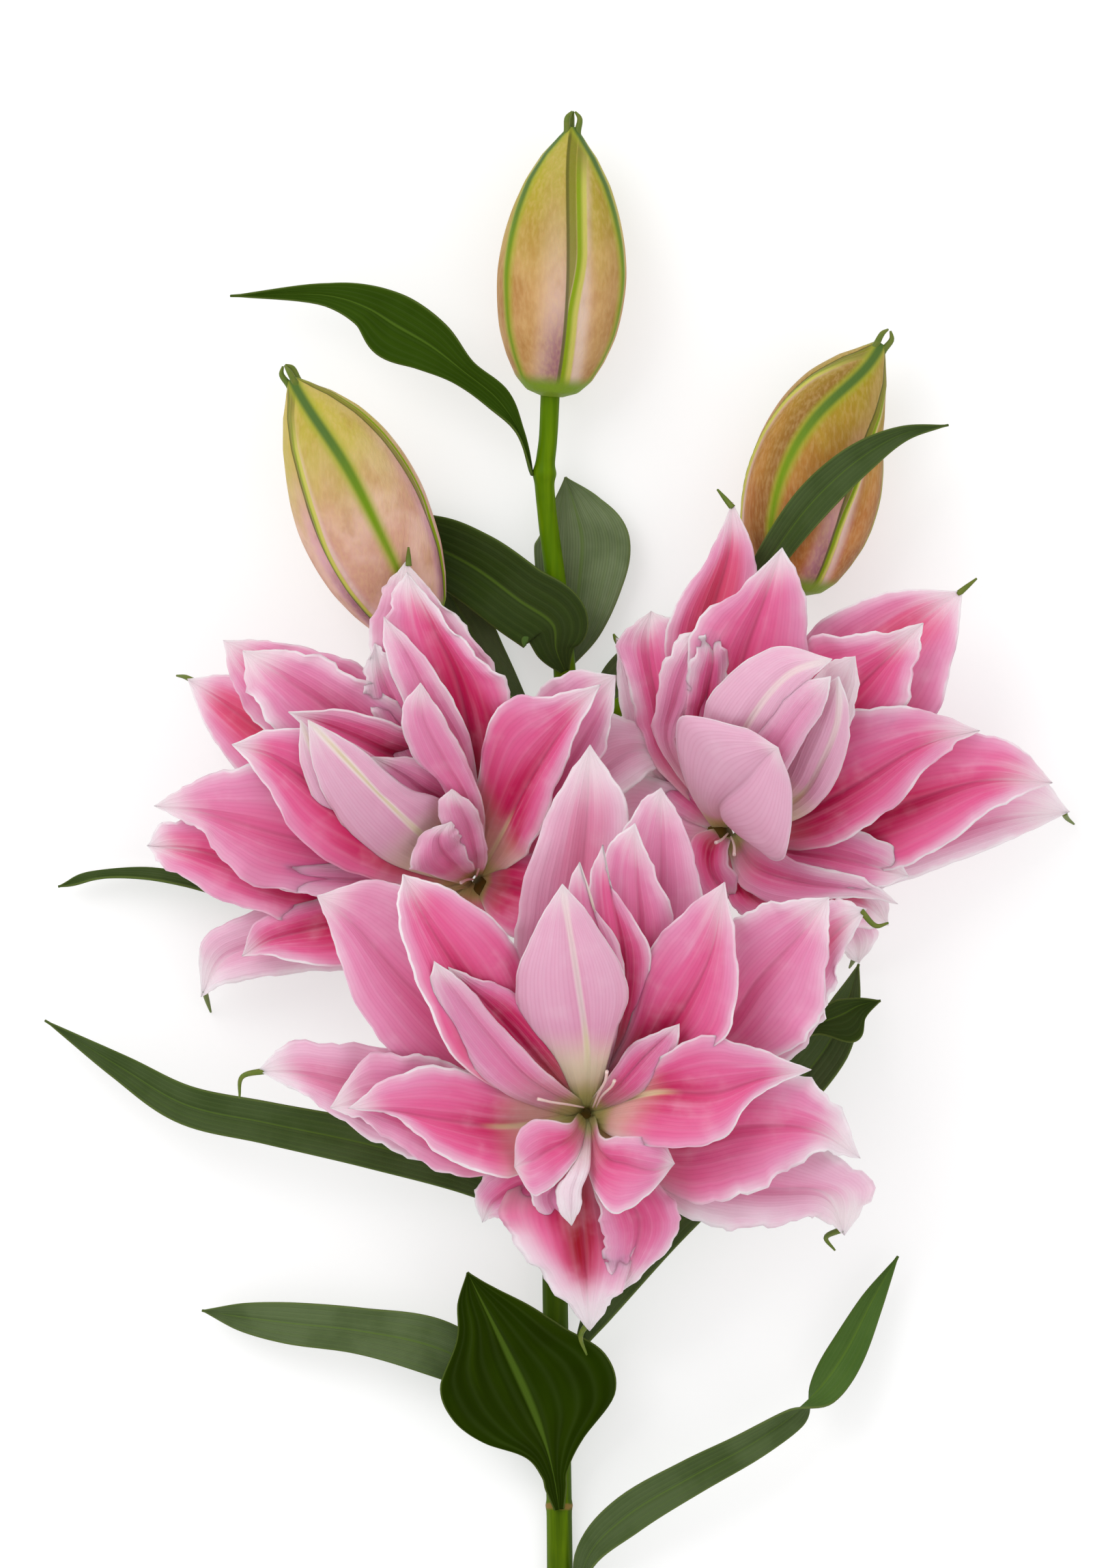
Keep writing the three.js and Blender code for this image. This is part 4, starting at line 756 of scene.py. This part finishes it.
PETALS["bloom_left"] = [
    ([-46, 20, 57], [-59, 33, 67], [-71, 45, 73], [-81.5, 56, 76],
     [-56, 8], [-71, 21.5], [-79.5, 39], [-36, 28], [-49, 33.5], [-66, 47.5], -0.3, -0.2, "ridge", 0.08, 0.2),
    ([-50, 14, 46], [-66, 26, 58], [-77, 40, 67], [-84, 56, 72],
     [-56, 6], [-74, 20], [-83.5, 40], [-44, 20], [-60, 32], [-74, 46], -0.2, 0.0, "ridge", 0.1, 0.2),
    ([-42, 36, 44], [-60, 47, 57], [-75, 54, 64], [-88, 58.5, 68],
     [-46, 26], [-62, 38], [-76, 48], [-36, 45], [-53, 53.5], [-71, 58.5], 0.3, 0.5, "hot", 0.8, 0.2),
    ([-36, 26, 47], [-45, 33, 55], [-53, 39, 60], [-61, 44, 62],
     [-42, 18], [-52, 27], [-58, 37], [-30, 32], [-38, 40], [-49, 43.5], 0.2, 0.2, "pink", 0.45, 0.3),
    ([-28, 42, 49], [-33, 68, 61], [-42, 88, 65], [-49.5, 104, 64],
     [-42, 46], [-52, 72], [-55, 93], [-13, 46], [-17, 66], [-33, 83.5], 0.3, 0.3, "hot", 1.0, 0.9),
    ([-29, 42, 40], [-37, 72, 50], [-45, 94, 52], [-50, 107.5, 50],
     [-44, 46], [-61.5, 74], [-58, 96], [-14, 46], [-22, 74], [-37, 92.5], 0.2, 0.2, "sepal", 0.6, 0.9),
    ([-31, 40, 55], [-42, 62, 67], [-50, 78, 70], [-57, 89.5, 70],
     [-40, 40], [-51, 63], [-56.5, 79], [-28, 46], [-36, 64], [-46, 79], 0.2, 0.3, "pale", 0.35, 0.3),
    ([-40, 38, 47], [-51, 56, 55], [-57, 69, 57], [-60, 81, 56],
     [-48, 34], [-60, 56], [-63.5, 68], [-33, 44], [-44, 62], [-54, 76], 0.2, 0.3, "pink", 0.5, 1.2),
    ([-29, 27, 58], [-37, 42, 68], [-44, 56, 75], [-45, 68, 78],
     [-37, 31], [-48, 44.5], [-51, 59], [-24.5, 27], [-31, 45], [-39.5, 60], 0.1, -0.2, "pale", 0.35, 0.3),
    ([-27, 11, 52], [-29, 20, 60], [-32, 27, 65], [-35, 33.5, 67],
     [-31, 9], [-36, 17], [-39.5, 28], [-23.5, 11], [-24.5, 21], [-28.5, 29], 0.1, -0.2, "pink", 0.35, 0.6),
    ([-33, 8, 54], [-38, 13, 62], [-39, 18, 65], [-35, 23, 66],
     [-42, 5.5], [-48.5, 8.5], [-44.5, 18.5], [-28, 9], [-31, 16], [-33, 20], 0.0, -0.1, "pink", 0.35, 0.8),
    ([-18, 20, 49], [-9, 37, 62], [2, 54, 67], [13.5, 67.5, 65],
     [-27, 34], [-20, 59], [-3, 63.5], [-12, 12], [-5, 26], [5, 49.5], 0.35, 0.6, "heart", 0.9, 0.5),
    ([-12, 16, 40], [1, 38, 50], [12, 57, 53], [18.5, 70.5, 50],
     [-22, 40], [-9, 62.5], [3, 71.5], [-3, 10], [9, 34], [16.5, 53], 0.2, 0.3, "pink", 0.4, 0.6),
    ([-6, 20, 33], [12, 38, 39], [25, 46, 37], [36.5, 43.5, 32],
     [-12, 32], [8, 56], [25, 55], [2, 12], [15, 27], [28, 37.5], 0.2, 0.1, "cream", 0.1, 0.4),
    ([-18, 2, 39], [-10, 0, 43], [0, -3, 42], [10, -6, 38],
     [-14, 12], [-6, 11], [4, 6], [-22, -10], [-12, -15], [0, -12], 0.2, 0.2, "pink", 0.8, 0.3),
    ([-54, 38, 38], [-80, 60, 45], [-98, 74, 43], [-109.5, 82, 38],
     [-68, 28], [-92, 48], [-105.5, 66], [-42, 50], [-64, 72.5], [-90, 81], 0.2, 0.3, "pink", 0.75, 0.6),
    ([-50, 38, 47], [-73, 58, 55], [-90, 70, 57], [-103, 78.5, 54],
     [-60, 30], [-86, 47], [-100, 64], [-40, 50], [-62, 67.5], [-83, 77.5], 0.3, 0.3, "pink", 0.48, 0.9),
    ([-62, 32, 27], [-90, 48, 29], [-109, 61, 25], [-121.5, 69.5, 18],
     [-72, 20], [-100, 35.5], [-114.5, 53], [-54, 44], [-84, 62], [-107, 70], 0.25, 0.25, "sepal", 0.8, 0.3),
    ([-52, 18, 50], [-74, 31, 59], [-92, 43, 61], [-106.5, 48, 57],
     [-60, 4], [-82, 16], [-96.5, 37], [-44, 30], [-68, 48], [-91, 53], 0.3, 0.3, "pink", 0.95, 0.4),
    ([-60, 12, 41], [-88, 18, 48], [-114, 25, 46], [-132, 28, 38],
     [-64, -2], [-101, 4], [-117, 20], [-56, 28], [-88, 43], [-117, 36.5], 0.25, 0.25, "pink", 0.55, 0.8),
    ([-60, 2, 32], [-88, 6, 37], [-117, 13, 33], [-134.5, 15, 24],
     [-62, -8], [-94, -8], [-126, 6.5], [-58, 14], [-92, 21], [-126, 23], 0.2, 0.2, "hot", 1.0, 0.8),
    ([-54, 3, 43], [-70, 4, 47], [-84, 4, 48], [-96, 2.5, 46],
     [-54, -3], [-70, -1.5], [-85, 0], [-54, 9], [-72, 9], [-89, 9.5], 0.6, 0.1, "pink", 0.3, 0.4),
    ([-52, -7, 34], [-74, -11, 38], [-92, -15, 37], [-103.5, -21, 33],
     [-52, -18], [-75, -23], [-93, -20.5], [-52, 3], [-78, -2.5], [-98, -9.5], 0.6, 0.2, "hot", 1.0, 0.3),
    ([-56, -10, 22], [-84, -15, 26], [-108, -21, 22], [-117, -34.5, 12],
     [-58, -23], [-86, -26.5], [-108, -30], [-58, 2], [-92, -4.5], [-115.5, -15], 0.0, 0.2, "cream", 0.1, 0.4),
    ([-30, -12, 33], [-33, -28, 37], [-36, -42, 32], [-38, -54, 24],
     [-20, -12], [-20, -28], [-26, -44], [-42, -12], [-46, -28], [-47, -42], 0.2, 0.2, "pink", 0.7, 0.3),
]
PETALS["bloom_right"] = [
    ([57, 44, 59], [64, 59, 77], [75, 71, 88], [88.5, 75.5, 92],
     [46, 50], [50, 66], [69, 79.5], [66, 42], [72, 56], [79, 66.5], -0.3, -0.15, "crest", 0.0, 0.2),
    ([64, 36, 62], [72, 50, 79], [80, 61, 88], [88, 70, 92],
     [58, 42], [68, 56], [77, 67], [70, 33], [78, 47], [86, 60], -0.2, -0.2, "pink", 0.2, 0.2),
    ([77, 30, 51], [85, 42, 66], [90, 55, 79], [90.5, 70, 89],
     [71, 38], [77, 52], [84, 65], [81, 25.5], [92, 40], [94.5, 57], -0.2, -0.4, "crest", 0.08, 0.2),
    ([74, 40, 42], [85, 55, 60], [92, 67, 72], [96, 76.5, 79],
     [66, 48], [79, 65], [88, 74.5], [82, 36], [93, 52], [97, 66], 0.2, 0.2, "white", 0.0, 0.4),
    ([52, 28, 55], [60, 36, 72], [66, 43, 81], [71, 47, 86],
     [40, 36], [38, 56], [59, 53.5], [62, 15], [72.5, 10.5], [75.5, 31], -0.2, -0.25, "pale", 0.05, 0.2),
    ([47, 58, 39], [49, 86, 47], [55, 110, 47], [56.5, 127, 42],
     [38, 58], [35.5, 87], [48.5, 109], [55, 54], [61.5, 84], [63.5, 109], 0.25, 0.25, "sepal", 0.8, 0.3),
    ([54, 52, 46], [60, 76, 57], [67, 96, 61], [72.5, 112, 60],
     [44, 54], [43, 84], [58, 97.5], [64, 48], [79, 73], [79, 98], 0.3, 0.2, "hot", 0.75, 0.6),
    ([37, 42, 35], [32, 62, 42], [29, 79, 42], [30, 91.5, 38],
     [31, 42], [24.5, 62], [20, 82], [44, 44], [42, 66], [38, 86], 0.25, 0.25, "pink", 0.7, 0.9),
    ([34, 40, 27], [27, 58, 29], [22, 72, 25], [18.5, 83, 20],
     [29, 40], [20.5, 58], [19, 72], [40, 44], [34, 64], [27, 78], 0.1, 0.2, "cream", 0.1, 0.3),
    ([36, 46, 44], [38, 62, 53], [42, 75, 58], [47, 86.5, 60],
     [33, 46], [32, 66], [37, 80], [39, 46], [43, 64], [46, 75], 0.3, 0.3, "pale", 0.4, 1.0),
    ([46, 50, 47], [48, 64, 55], [50, 75, 60], [49, 86, 62],
     [42, 54], [42, 68], [45, 80], [52, 52], [54.5, 68], [53.5, 80], 0.4, 0.3, "hot", 0.9, 1.0),
    ([76, 48, 33], [97, 70, 40], [116, 87, 40], [131.5, 98, 36],
     [66, 60], [84, 86], [108, 97.5], [92, 36], [120, 54], [129, 80], 0.25, 0.25, "sepal", 0.7, 0.3),
    ([76, 44, 43], [92, 61, 52], [106, 75, 55], [118.5, 87.5, 54],
     [68, 56], [81, 81], [101, 83.5], [90, 40], [109, 55], [116, 75], 0.4, 0.3, "pink", 0.95, 0.8),
    ([76, 25, 42], [95, 34, 52], [117, 47, 54], [137, 52.5, 48],
     [74, 38], [93, 57.5], [116, 59.5], [84, 14], [106, 26], [124, 45], 0.3, 0.3, "hot", 0.86, 0.6),
    ([84, 20, 33], [110, 28, 41], [137, 36, 40], [161, 35.5, 31],
     [84, 36], [118, 52], [147, 48], [90, 6], [117, 11], [143, 28], 0.25, 0.25, "pink", 1.0, 0.5),
    ([86, 10, 23], [114, 15, 28], [143, 24, 23], [167, 26, 12],
     [88, 26], [120, 34], [153, 38.5], [88, -2], [113, 4], [143, 15], 0.2, 0.15, "cream", 0.2, 0.3),
    ([72, 14, 37], [86, 12, 42], [100, 9, 42], [114, 5, 38],
     [73, 21], [90, 22], [107, 15.5], [70, 9], [86, 4], [101, 1], 0.25, 0.3, "pink", 0.55, 0.6),
    ([64, 8, 40], [80, 3, 45], [97, 0.5, 44], [110.5, -4, 38],
     [66, 15], [82, 8.5], [100, 4], [60, 1], [77, -4], [95, -1.5], 0.3, 0.2, "pale", 0.4, 0.6),
    ([60, 5, 33], [63, -1, 36], [68, -4, 34], [76, -7, 30],
     [66, 6], [72, 0], [76, -3], [54, 1], [57, -5], [64, -8], 0.2, 0.2, "hot", 1.0, 0.7),
    ([74, 2, 20], [86, -7, 22], [95, -15, 17], [98, -23.5, 10],
     [80, 8], [97, -3], [104.5, -13], [68, -6], [79, -14], [90, -19], 0.1, 0.1, "cream", 0.1, 0.8),
    ([76, 5, 28], [89, 1, 32], [100, -3, 30], [107.5, -11, 25],
     [80, 11], [94, 6], [106, -1], [72, -2], [85, -8], [97, -12], 0.2, 0.2, "blush", 0.9, 0.6),
    ([50, 15, 37], [49, 8, 40], [52, 2, 38], [57, -2, 34],
     [55.5, 15.5], [55, 9], [58, 3], [44, 18], [43, 8], [47, -2.5], 0.2, 0.2, "pink", 0.8, 0.5),
    ([46, 27, 32], [40, 32, 31], [34, 36, 27], [27, 38, 22],
     [42, 23], [36, 27], [30, 33], [47, 31], [42, 36.5], [36, 41], 0.2, 0.2, "pink", 0.6, 0.8),
    ([44, 14, 29], [34, 15, 27], [25, 18, 22], [17, 22, 16],
     [47, -3.5], [36, -3], [24, 6], [44, 30], [33, 36.5], [22, 37], 0.1, 0.1, "cream", 0.1, 0.3),
]
CLAWS = {
    "bloom_centre": [
        [[-95, -58, 55], [-103, -60, 55], [-104, -67, 50]],
        [[98, -6, 60.5], [103, -11, 59], [107, -10, 60]],
        [[92, -110, 35], [87, -113, 28], [90, -117, 26]],
        [[10.5, -139, 41], [7, -145, 33], [9, -151, 29]],
    ],
    "bloom_left": [
        [[-119, 68.5, 18], [-122, 70, 15], [-125, 70.5, 11]],
        [[-116, -32, 13], [-115, -36, 6], [-114, -39.5, 0.4]],
        [[-49, 106, 50], [-49, 109, 50], [-49, 112, 52]],
        [[35, 44, 32.3], [37, 43, 31], [38.5, 40.5, 31]],
    ],
    "bloom_right": [
        [[165, 25.8, 12.5], [166, 24, 7], [168.5, 22, 0.4]],
        [[130, 97, 36], [133, 99.5, 37], [136, 102, 39]],
        [[56.5, 125, 42.3], [54, 128, 42], [51.5, 131, 43]],
        [[97, -21, 11], [96, -23, 6], [95, -25, 2]],
        [[19.5, 81, 20.5], [18.5, 82.5, 19], [17.8, 84, 18]],
    ],
}


def petal_lines(root, entry):
    root = Vector(root)
    first, second, third, tip = [Vector(point) for point in entry[:4]]
    outward = Vector((first.x - root.x, first.y - root.y, 0)).normalized()
    beside = Vector((-outward.y, outward.x, 0))
    start = root + PETAL_START_OUT * outward - Vector((0, 0, PETAL_START_BELOW))
    lines = [[start, first, second, third, tip]]
    for way, traced, lift in ((1, entry[4:7], entry[10]), (-1, entry[7:10], entry[11])):
        edge = []
        for (x, y), mid in zip(traced, (first, second, third)):
            edge.append(Vector((x, y, mid.z + lift * math.hypot(x - mid.x, y - mid.y))))
        width = math.hypot(traced[0][0] - first.x, traced[0][1] - first.y)
        lines.append([start + way * (1 + 0.25 * width) * beside] + edge + [tip])
    return lines


def petal(root, entry, number, materials):
    look, hot, waved = entry[12:]
    salmon, foot, line, rim = LOOKS[look]
    white = min(0.3 + 0.45 * waved + 0.2 * (rim - 0.9), 1)
    middle_line, left_line, right_line = petal_lines(root, entry)
    length = sum((b - a).length for a, b in zip(middle_line, middle_line[1:]))
    places = {}

    def lines_at(t):
        if t not in places:
            places[t] = [even_point(points, t) for points in (middle_line, left_line, right_line)]
        return places[t]

    def spot(t, s):
        middle, left, right = lines_at(t)
        edge = left if s > 0 else right
        a = abs(s)
        rise = (edge.z - middle.z) * a ** 1.6
        return middle + Vector(((edge.x - middle.x) * a, (edge.y - middle.y) * a, rise))

    def place(t):
        body = math.sin(math.pi * min(max(t, 0), 1)) ** 0.7
        swing = smooth(0.1, 0.4, t) * smooth(1.0, 0.8, t)
        middle, left, right = lines_at(t)
        halves = {1: (left - middle).length, -1: (right - middle).length}

        def point(s):
            way = 1 if s > 0 else -1
            a = abs(s)
            half = max(halves[way], LEAST_HALF_WIDTH)
            reach = a * half
            along = spot(min(t + 0.01, 0.999), s) - spot(max(t - 0.01, 0.001), s)
            face = along.cross(spot(t, min(s + 0.05, 1)) - spot(t, max(s - 0.05, -1))).normalized()
            outward = (spot(t, way) - middle).normalized()
            mm = t * length
            phase = number * 1.7 + way
            frill = math.sin(mm / 1.9 + phase) + 0.6 * math.sin(mm / 1.1 + 2 * phase)
            frill += 0.4 * math.sin(mm / 3.1)
            ragged = math.sin(mm / 1.3 + 3 * phase) + 0.7 * math.sin(mm / 2.3 + phase)
            ragged += 0.4 * math.sin(mm / 0.7)
            size = min(half / 9, 1.3)
            ruffle = math.sin(mm / 3.3 + phase) + 0.5 * math.sin(mm / 5.9 + 2.3 * phase)
            rise = waved * (0.6 * a ** 4 * frill + 1.3 * a ** 3 * ruffle) * swing
            rise += size * 0.9 * math.sin(math.pi * a ** 0.8) * body
            rise -= size * 0.9 * smooth(0.75, 1, a) * body
            groove = bulge(reach, 1.5 * size + 0.3) * size * body
            rise += (1.3 if look == "ridge" else -1.1) * groove
            rise += 0.6 * size * math.sin(5 * t + 2.4 * s + 1.7 * number) * body
            wander = waved * a ** 3 * (0.35 * ragged + 0.5 * math.cos(mm / 3.3 + phase)) * swing
            edge = min((1 - a) * half, (1 - t) * length * 0.7)
            measures = {"hot": hot, "salmon": salmon, "foot": foot, "line": line, "white": white}
            measures["edge"] = edge / rim / (0.7 + 0.7 * waved)
            measures["reach"] = reach
            return spot(t, s) + wander * outward + rise * face, measures
        return point
    width = max((a - b).length for a, b in zip(left_line, right_line))
    grid = SMALL_PETAL_GRID if width < SMALL_PETAL_WIDTH else PETAL_GRID
    return blade(*grid, PETAL_THICKNESS, place, materials)


def petal_skin(name, outside):
    flesh = {"Subsurface_Weight": 0.5, "Subsurface_Radius": (1.0, 0.8, 0.85), "Subsurface_Scale": 0.002}
    material, tree, shader = surface(name, 0.5, Specular_IOR_Level=0.12, **flesh)
    salmon = measure(tree, "salmon")
    foot = measure(tree, "foot")
    white = measure(tree, "white")
    edge = measure(tree, "edge")
    reach = measure(tree, "reach")
    along = flat_place(tree)[1]
    cloud = mottle(tree, 11)
    fine, _ = vein_lines(tree, 30.0, 0.02)
    wide, streak = vein_lines(tree, 8.0, 0.05)
    centre = times(tree, fade(tree, along, 0.1, 0.3), fade(tree, along, 1.0, 0.6))
    if outside:
        colour = blend(tree, fade(tree, edge, 0.0, 9.0), "E8C4D0", "D690AE")
        colour = blend(tree, times(tree, salmon, fade(tree, reach, 12, 1, 0.0, 0.7)), colour, "D26A7C")
        colour = blend(tree, fade(tree, reach, 1.6, 0.4, 0.0, 0.5), colour, "DDD2A6")
    else:
        hot = measure(tree, "hot")
        line = measure(tree, "line")
        from_middle = calc(tree, "ADD", reach, calc(tree, "MULTIPLY_ADD", streak, 10.0, -5.0))
        kept = times(tree, centre, fade(tree, edge, 0.3, 5.0))
        heart = times(tree, kept, fade(tree, from_middle, 14, 1.0, 0.0, 0.5))
        # Deeper pink towards the petal's base: partly the petal's own colour, partly painted shade where the
        # petals overlap near the throat.
        low = fade(tree, along, 0.72, 0.25, 0.0, 0.75)
        heat = times(tree, hot, calc(tree, "ADD", calc(tree, "ADD", heart, low), 0.55))
        heat = times(tree, heat, fade(tree, edge, 0.0, 6.0, 0.55, 1.0))
        colour = blend(tree, fade(tree, heat, 0.0, 0.35), "E2AFC6", "DC88AE")
        colour = blend(tree, fade(tree, heat, 0.3, 0.8), colour, "DC6092")
        colour = blend(tree, fade(tree, heat, 0.75, 1.4), colour, "C2205A")
        rose = times(tree, salmon, times(tree, kept, fade(tree, from_middle, 13, 2)))
        red = blend(tree, fade(tree, hot, 0.85, 1.0), "D24A60", "9C0A22")
        colour = blend(tree, times(tree, rose, hot), colour, red)
        # A darker line along the midline groove: partly the petal's deeper pink there, partly painted shade in
        # the groove.
        midline_pink_and_groove_shade = times(tree, fade(tree, reach, 1.3, 0.3), times(tree, kept, hot))
        colour = blend(tree, times(tree, midline_pink_and_groove_shade, 0.4), colour, "A01848")
        ridge = fade(tree, line, 0.6, 0.9)
        colour = blend(tree, times(tree, ridge, fade(tree, reach, 1.7, 0.7, 0.0, 0.8)), colour, "EFE2D8")
        groove = times(tree, fade(tree, line, 0.85, 0.95), fade(tree, along, 0.3, 0.4))
        colour = blend(tree, times(tree, groove, fade(tree, reach, 0.9, 0.2, 0.0, 0.7)), colour, "D6CC98")
        cream = times(tree, fade(tree, reach, 1.5, 0.3), fade(tree, along, 0.38, 0.24, 0.0, 0.7))
        cream = times(tree, cream, fade(tree, foot, 0.45, 0.6))
        colour = blend(tree, cream, colour, "E2D69C")
    colour = blend(tree, fade(tree, streak, 0.55, 0.85, 0.0, 0.3), colour, "F0CBDA")
    colour = blend(tree, times(tree, fine, 0.1), colour, "B8487A")
    colour = blend(tree, times(tree, wide, 0.08), colour, "EFC4D6")
    colour = blend(tree, fade(tree, cloud, 0.5, 0.85, 0.0, 0.2), colour, "F2D3DE")
    tip = calc(tree, "MULTIPLY_ADD", streak, 0.12, calc(tree, "MULTIPLY_ADD", white, 0.14, along))
    whitened = times(tree, fade(tree, tip, 0.86, 1.12), calc(tree, "MULTIPLY_ADD", white, 0.4, 0.6))
    colour = blend(tree, whitened, colour, "EBDADE")
    broken = fade(tree, mottle(tree, 28, (1, 1, 1), 1.0), 0.38, 0.62, 0.15, 0.95)
    ragged = calc(tree, "ADD", edge, calc(tree, "MULTIPLY_ADD", mottle(tree, 6), 1.0, -0.5))
    rim = times(tree, broken, fade(tree, ragged, 0.25, 0.8, 1.0, 0.0))
    colour = blend(tree, rim, colour, "F2E6EA")
    soft_rim = times(tree, white, fade(tree, edge, 0.3, 3.4, 0.85, 0.0))
    colour = blend(tree, times(tree, soft_rim, broken), colour, "ECDAE2")
    base = times(tree, fade(tree, along, 0.35, 0.14), fade(tree, foot, 0.58, 0.84, 0.15, 1.0))
    colour = blend(tree, base, colour, "EAE2BC")
    colour = blend(tree, times(tree, fade(tree, along, 0.14, 0.05), 0.8), colour, "BFC270")
    put(tree, shader.inputs["Base Color"], colour)
    bumps = calc(tree, "MULTIPLY_ADD", mottle(tree, 6, (1, 1, 1), 4.0), 1.6, wide)
    relief(tree, shader, calc(tree, "MULTIPLY_ADD", fine, 0.3, bumps), 0.5, 0.25)
    return material


def throat_skin(name):
    material, tree, shader = surface(name, 0.6, Specular_IOR_Level=0.1)
    # Painted shade: the cup is green at its stalk end and painted dark brown towards the bloom's centre, for
    # the shade deep in its throat.
    inwards = fade(tree, flat_place(tree)[1], 0.35, 0.5)
    deep = blend(tree, mottle(tree, 3), "4A4A14", "6A4A20")
    put(tree, shader.inputs["Base Color"], blend(tree, inwards, "5C7C12", deep))
    return material


def filament_white(name):
    soft = {"Subsurface_Weight": 0.2, "Subsurface_Scale": 0.002, "Specular_IOR_Level": 0.2}
    material, tree, shader = surface(name, 0.5, **soft)
    put(tree, shader.inputs["Base Color"], blend(tree, mottle(tree, 4), "F2E6DC", "E6C9C6"))
    return material


FILAMENTS = {
    "bloom_centre": [
        [[11, -70, 54], [13, -65, 64], [15, -61, 71], [15.5, -58, 75]],
        [[8, -70, 54], [3, -69, 62], [-3, -68, 69], [-7, -67, 72]],
        [[12, -70, 54], [14, -66, 63], [17, -63, 69], [18, -61, 72]],
    ],
    "bloom_left": [
        [[-27, 5, 32], [-26, 8, 40], [-25, 11, 46]], [[-28, 4, 32], [-30, 4, 40], [-32, 3, 44]],
    ],
    "bloom_right": [
        [[55, 19, 34], [53, 17, 40], [51, 16, 44]], [[56, 18, 34], [57, 15, 40], [57, 12, 44]],
    ],
}
petal_sides = [petal_skin("petal_inner_face", False), petal_skin("petal_outer_face", True)]
cup_painted_throat_shade = throat_skin("cup_painted_throat_shade")
white_filament = filament_white("white_filament")
for place, (node, root) in enumerate(BLOOM_ROOTS.items()):
    pieces = [petal(root, entry, number, petal_sides) for number, entry in enumerate(PETALS[node])]
    way = (Vector(root) - Vector(PEDICELS[place][2])).normalized()
    cup = tube([Vector(root) - depth * way for depth in CUP_DEPTHS], CUP_RADII, sides=24, steps=16)
    cup.data.materials.append(cup_painted_throat_shade)
    threads = [hook(points, FILAMENT_RADII) for points in FILAMENTS[node]]
    for thread in threads:
        thread.data.materials.append(white_filament)
    tips = [hook(points, CLAW_RADII) for points in CLAWS[node]]
    for tip in tips:
        tip.data.materials.append(green_hook)
    joined(node + "_open", pieces + [cup] + threads + tips, "petal", node)
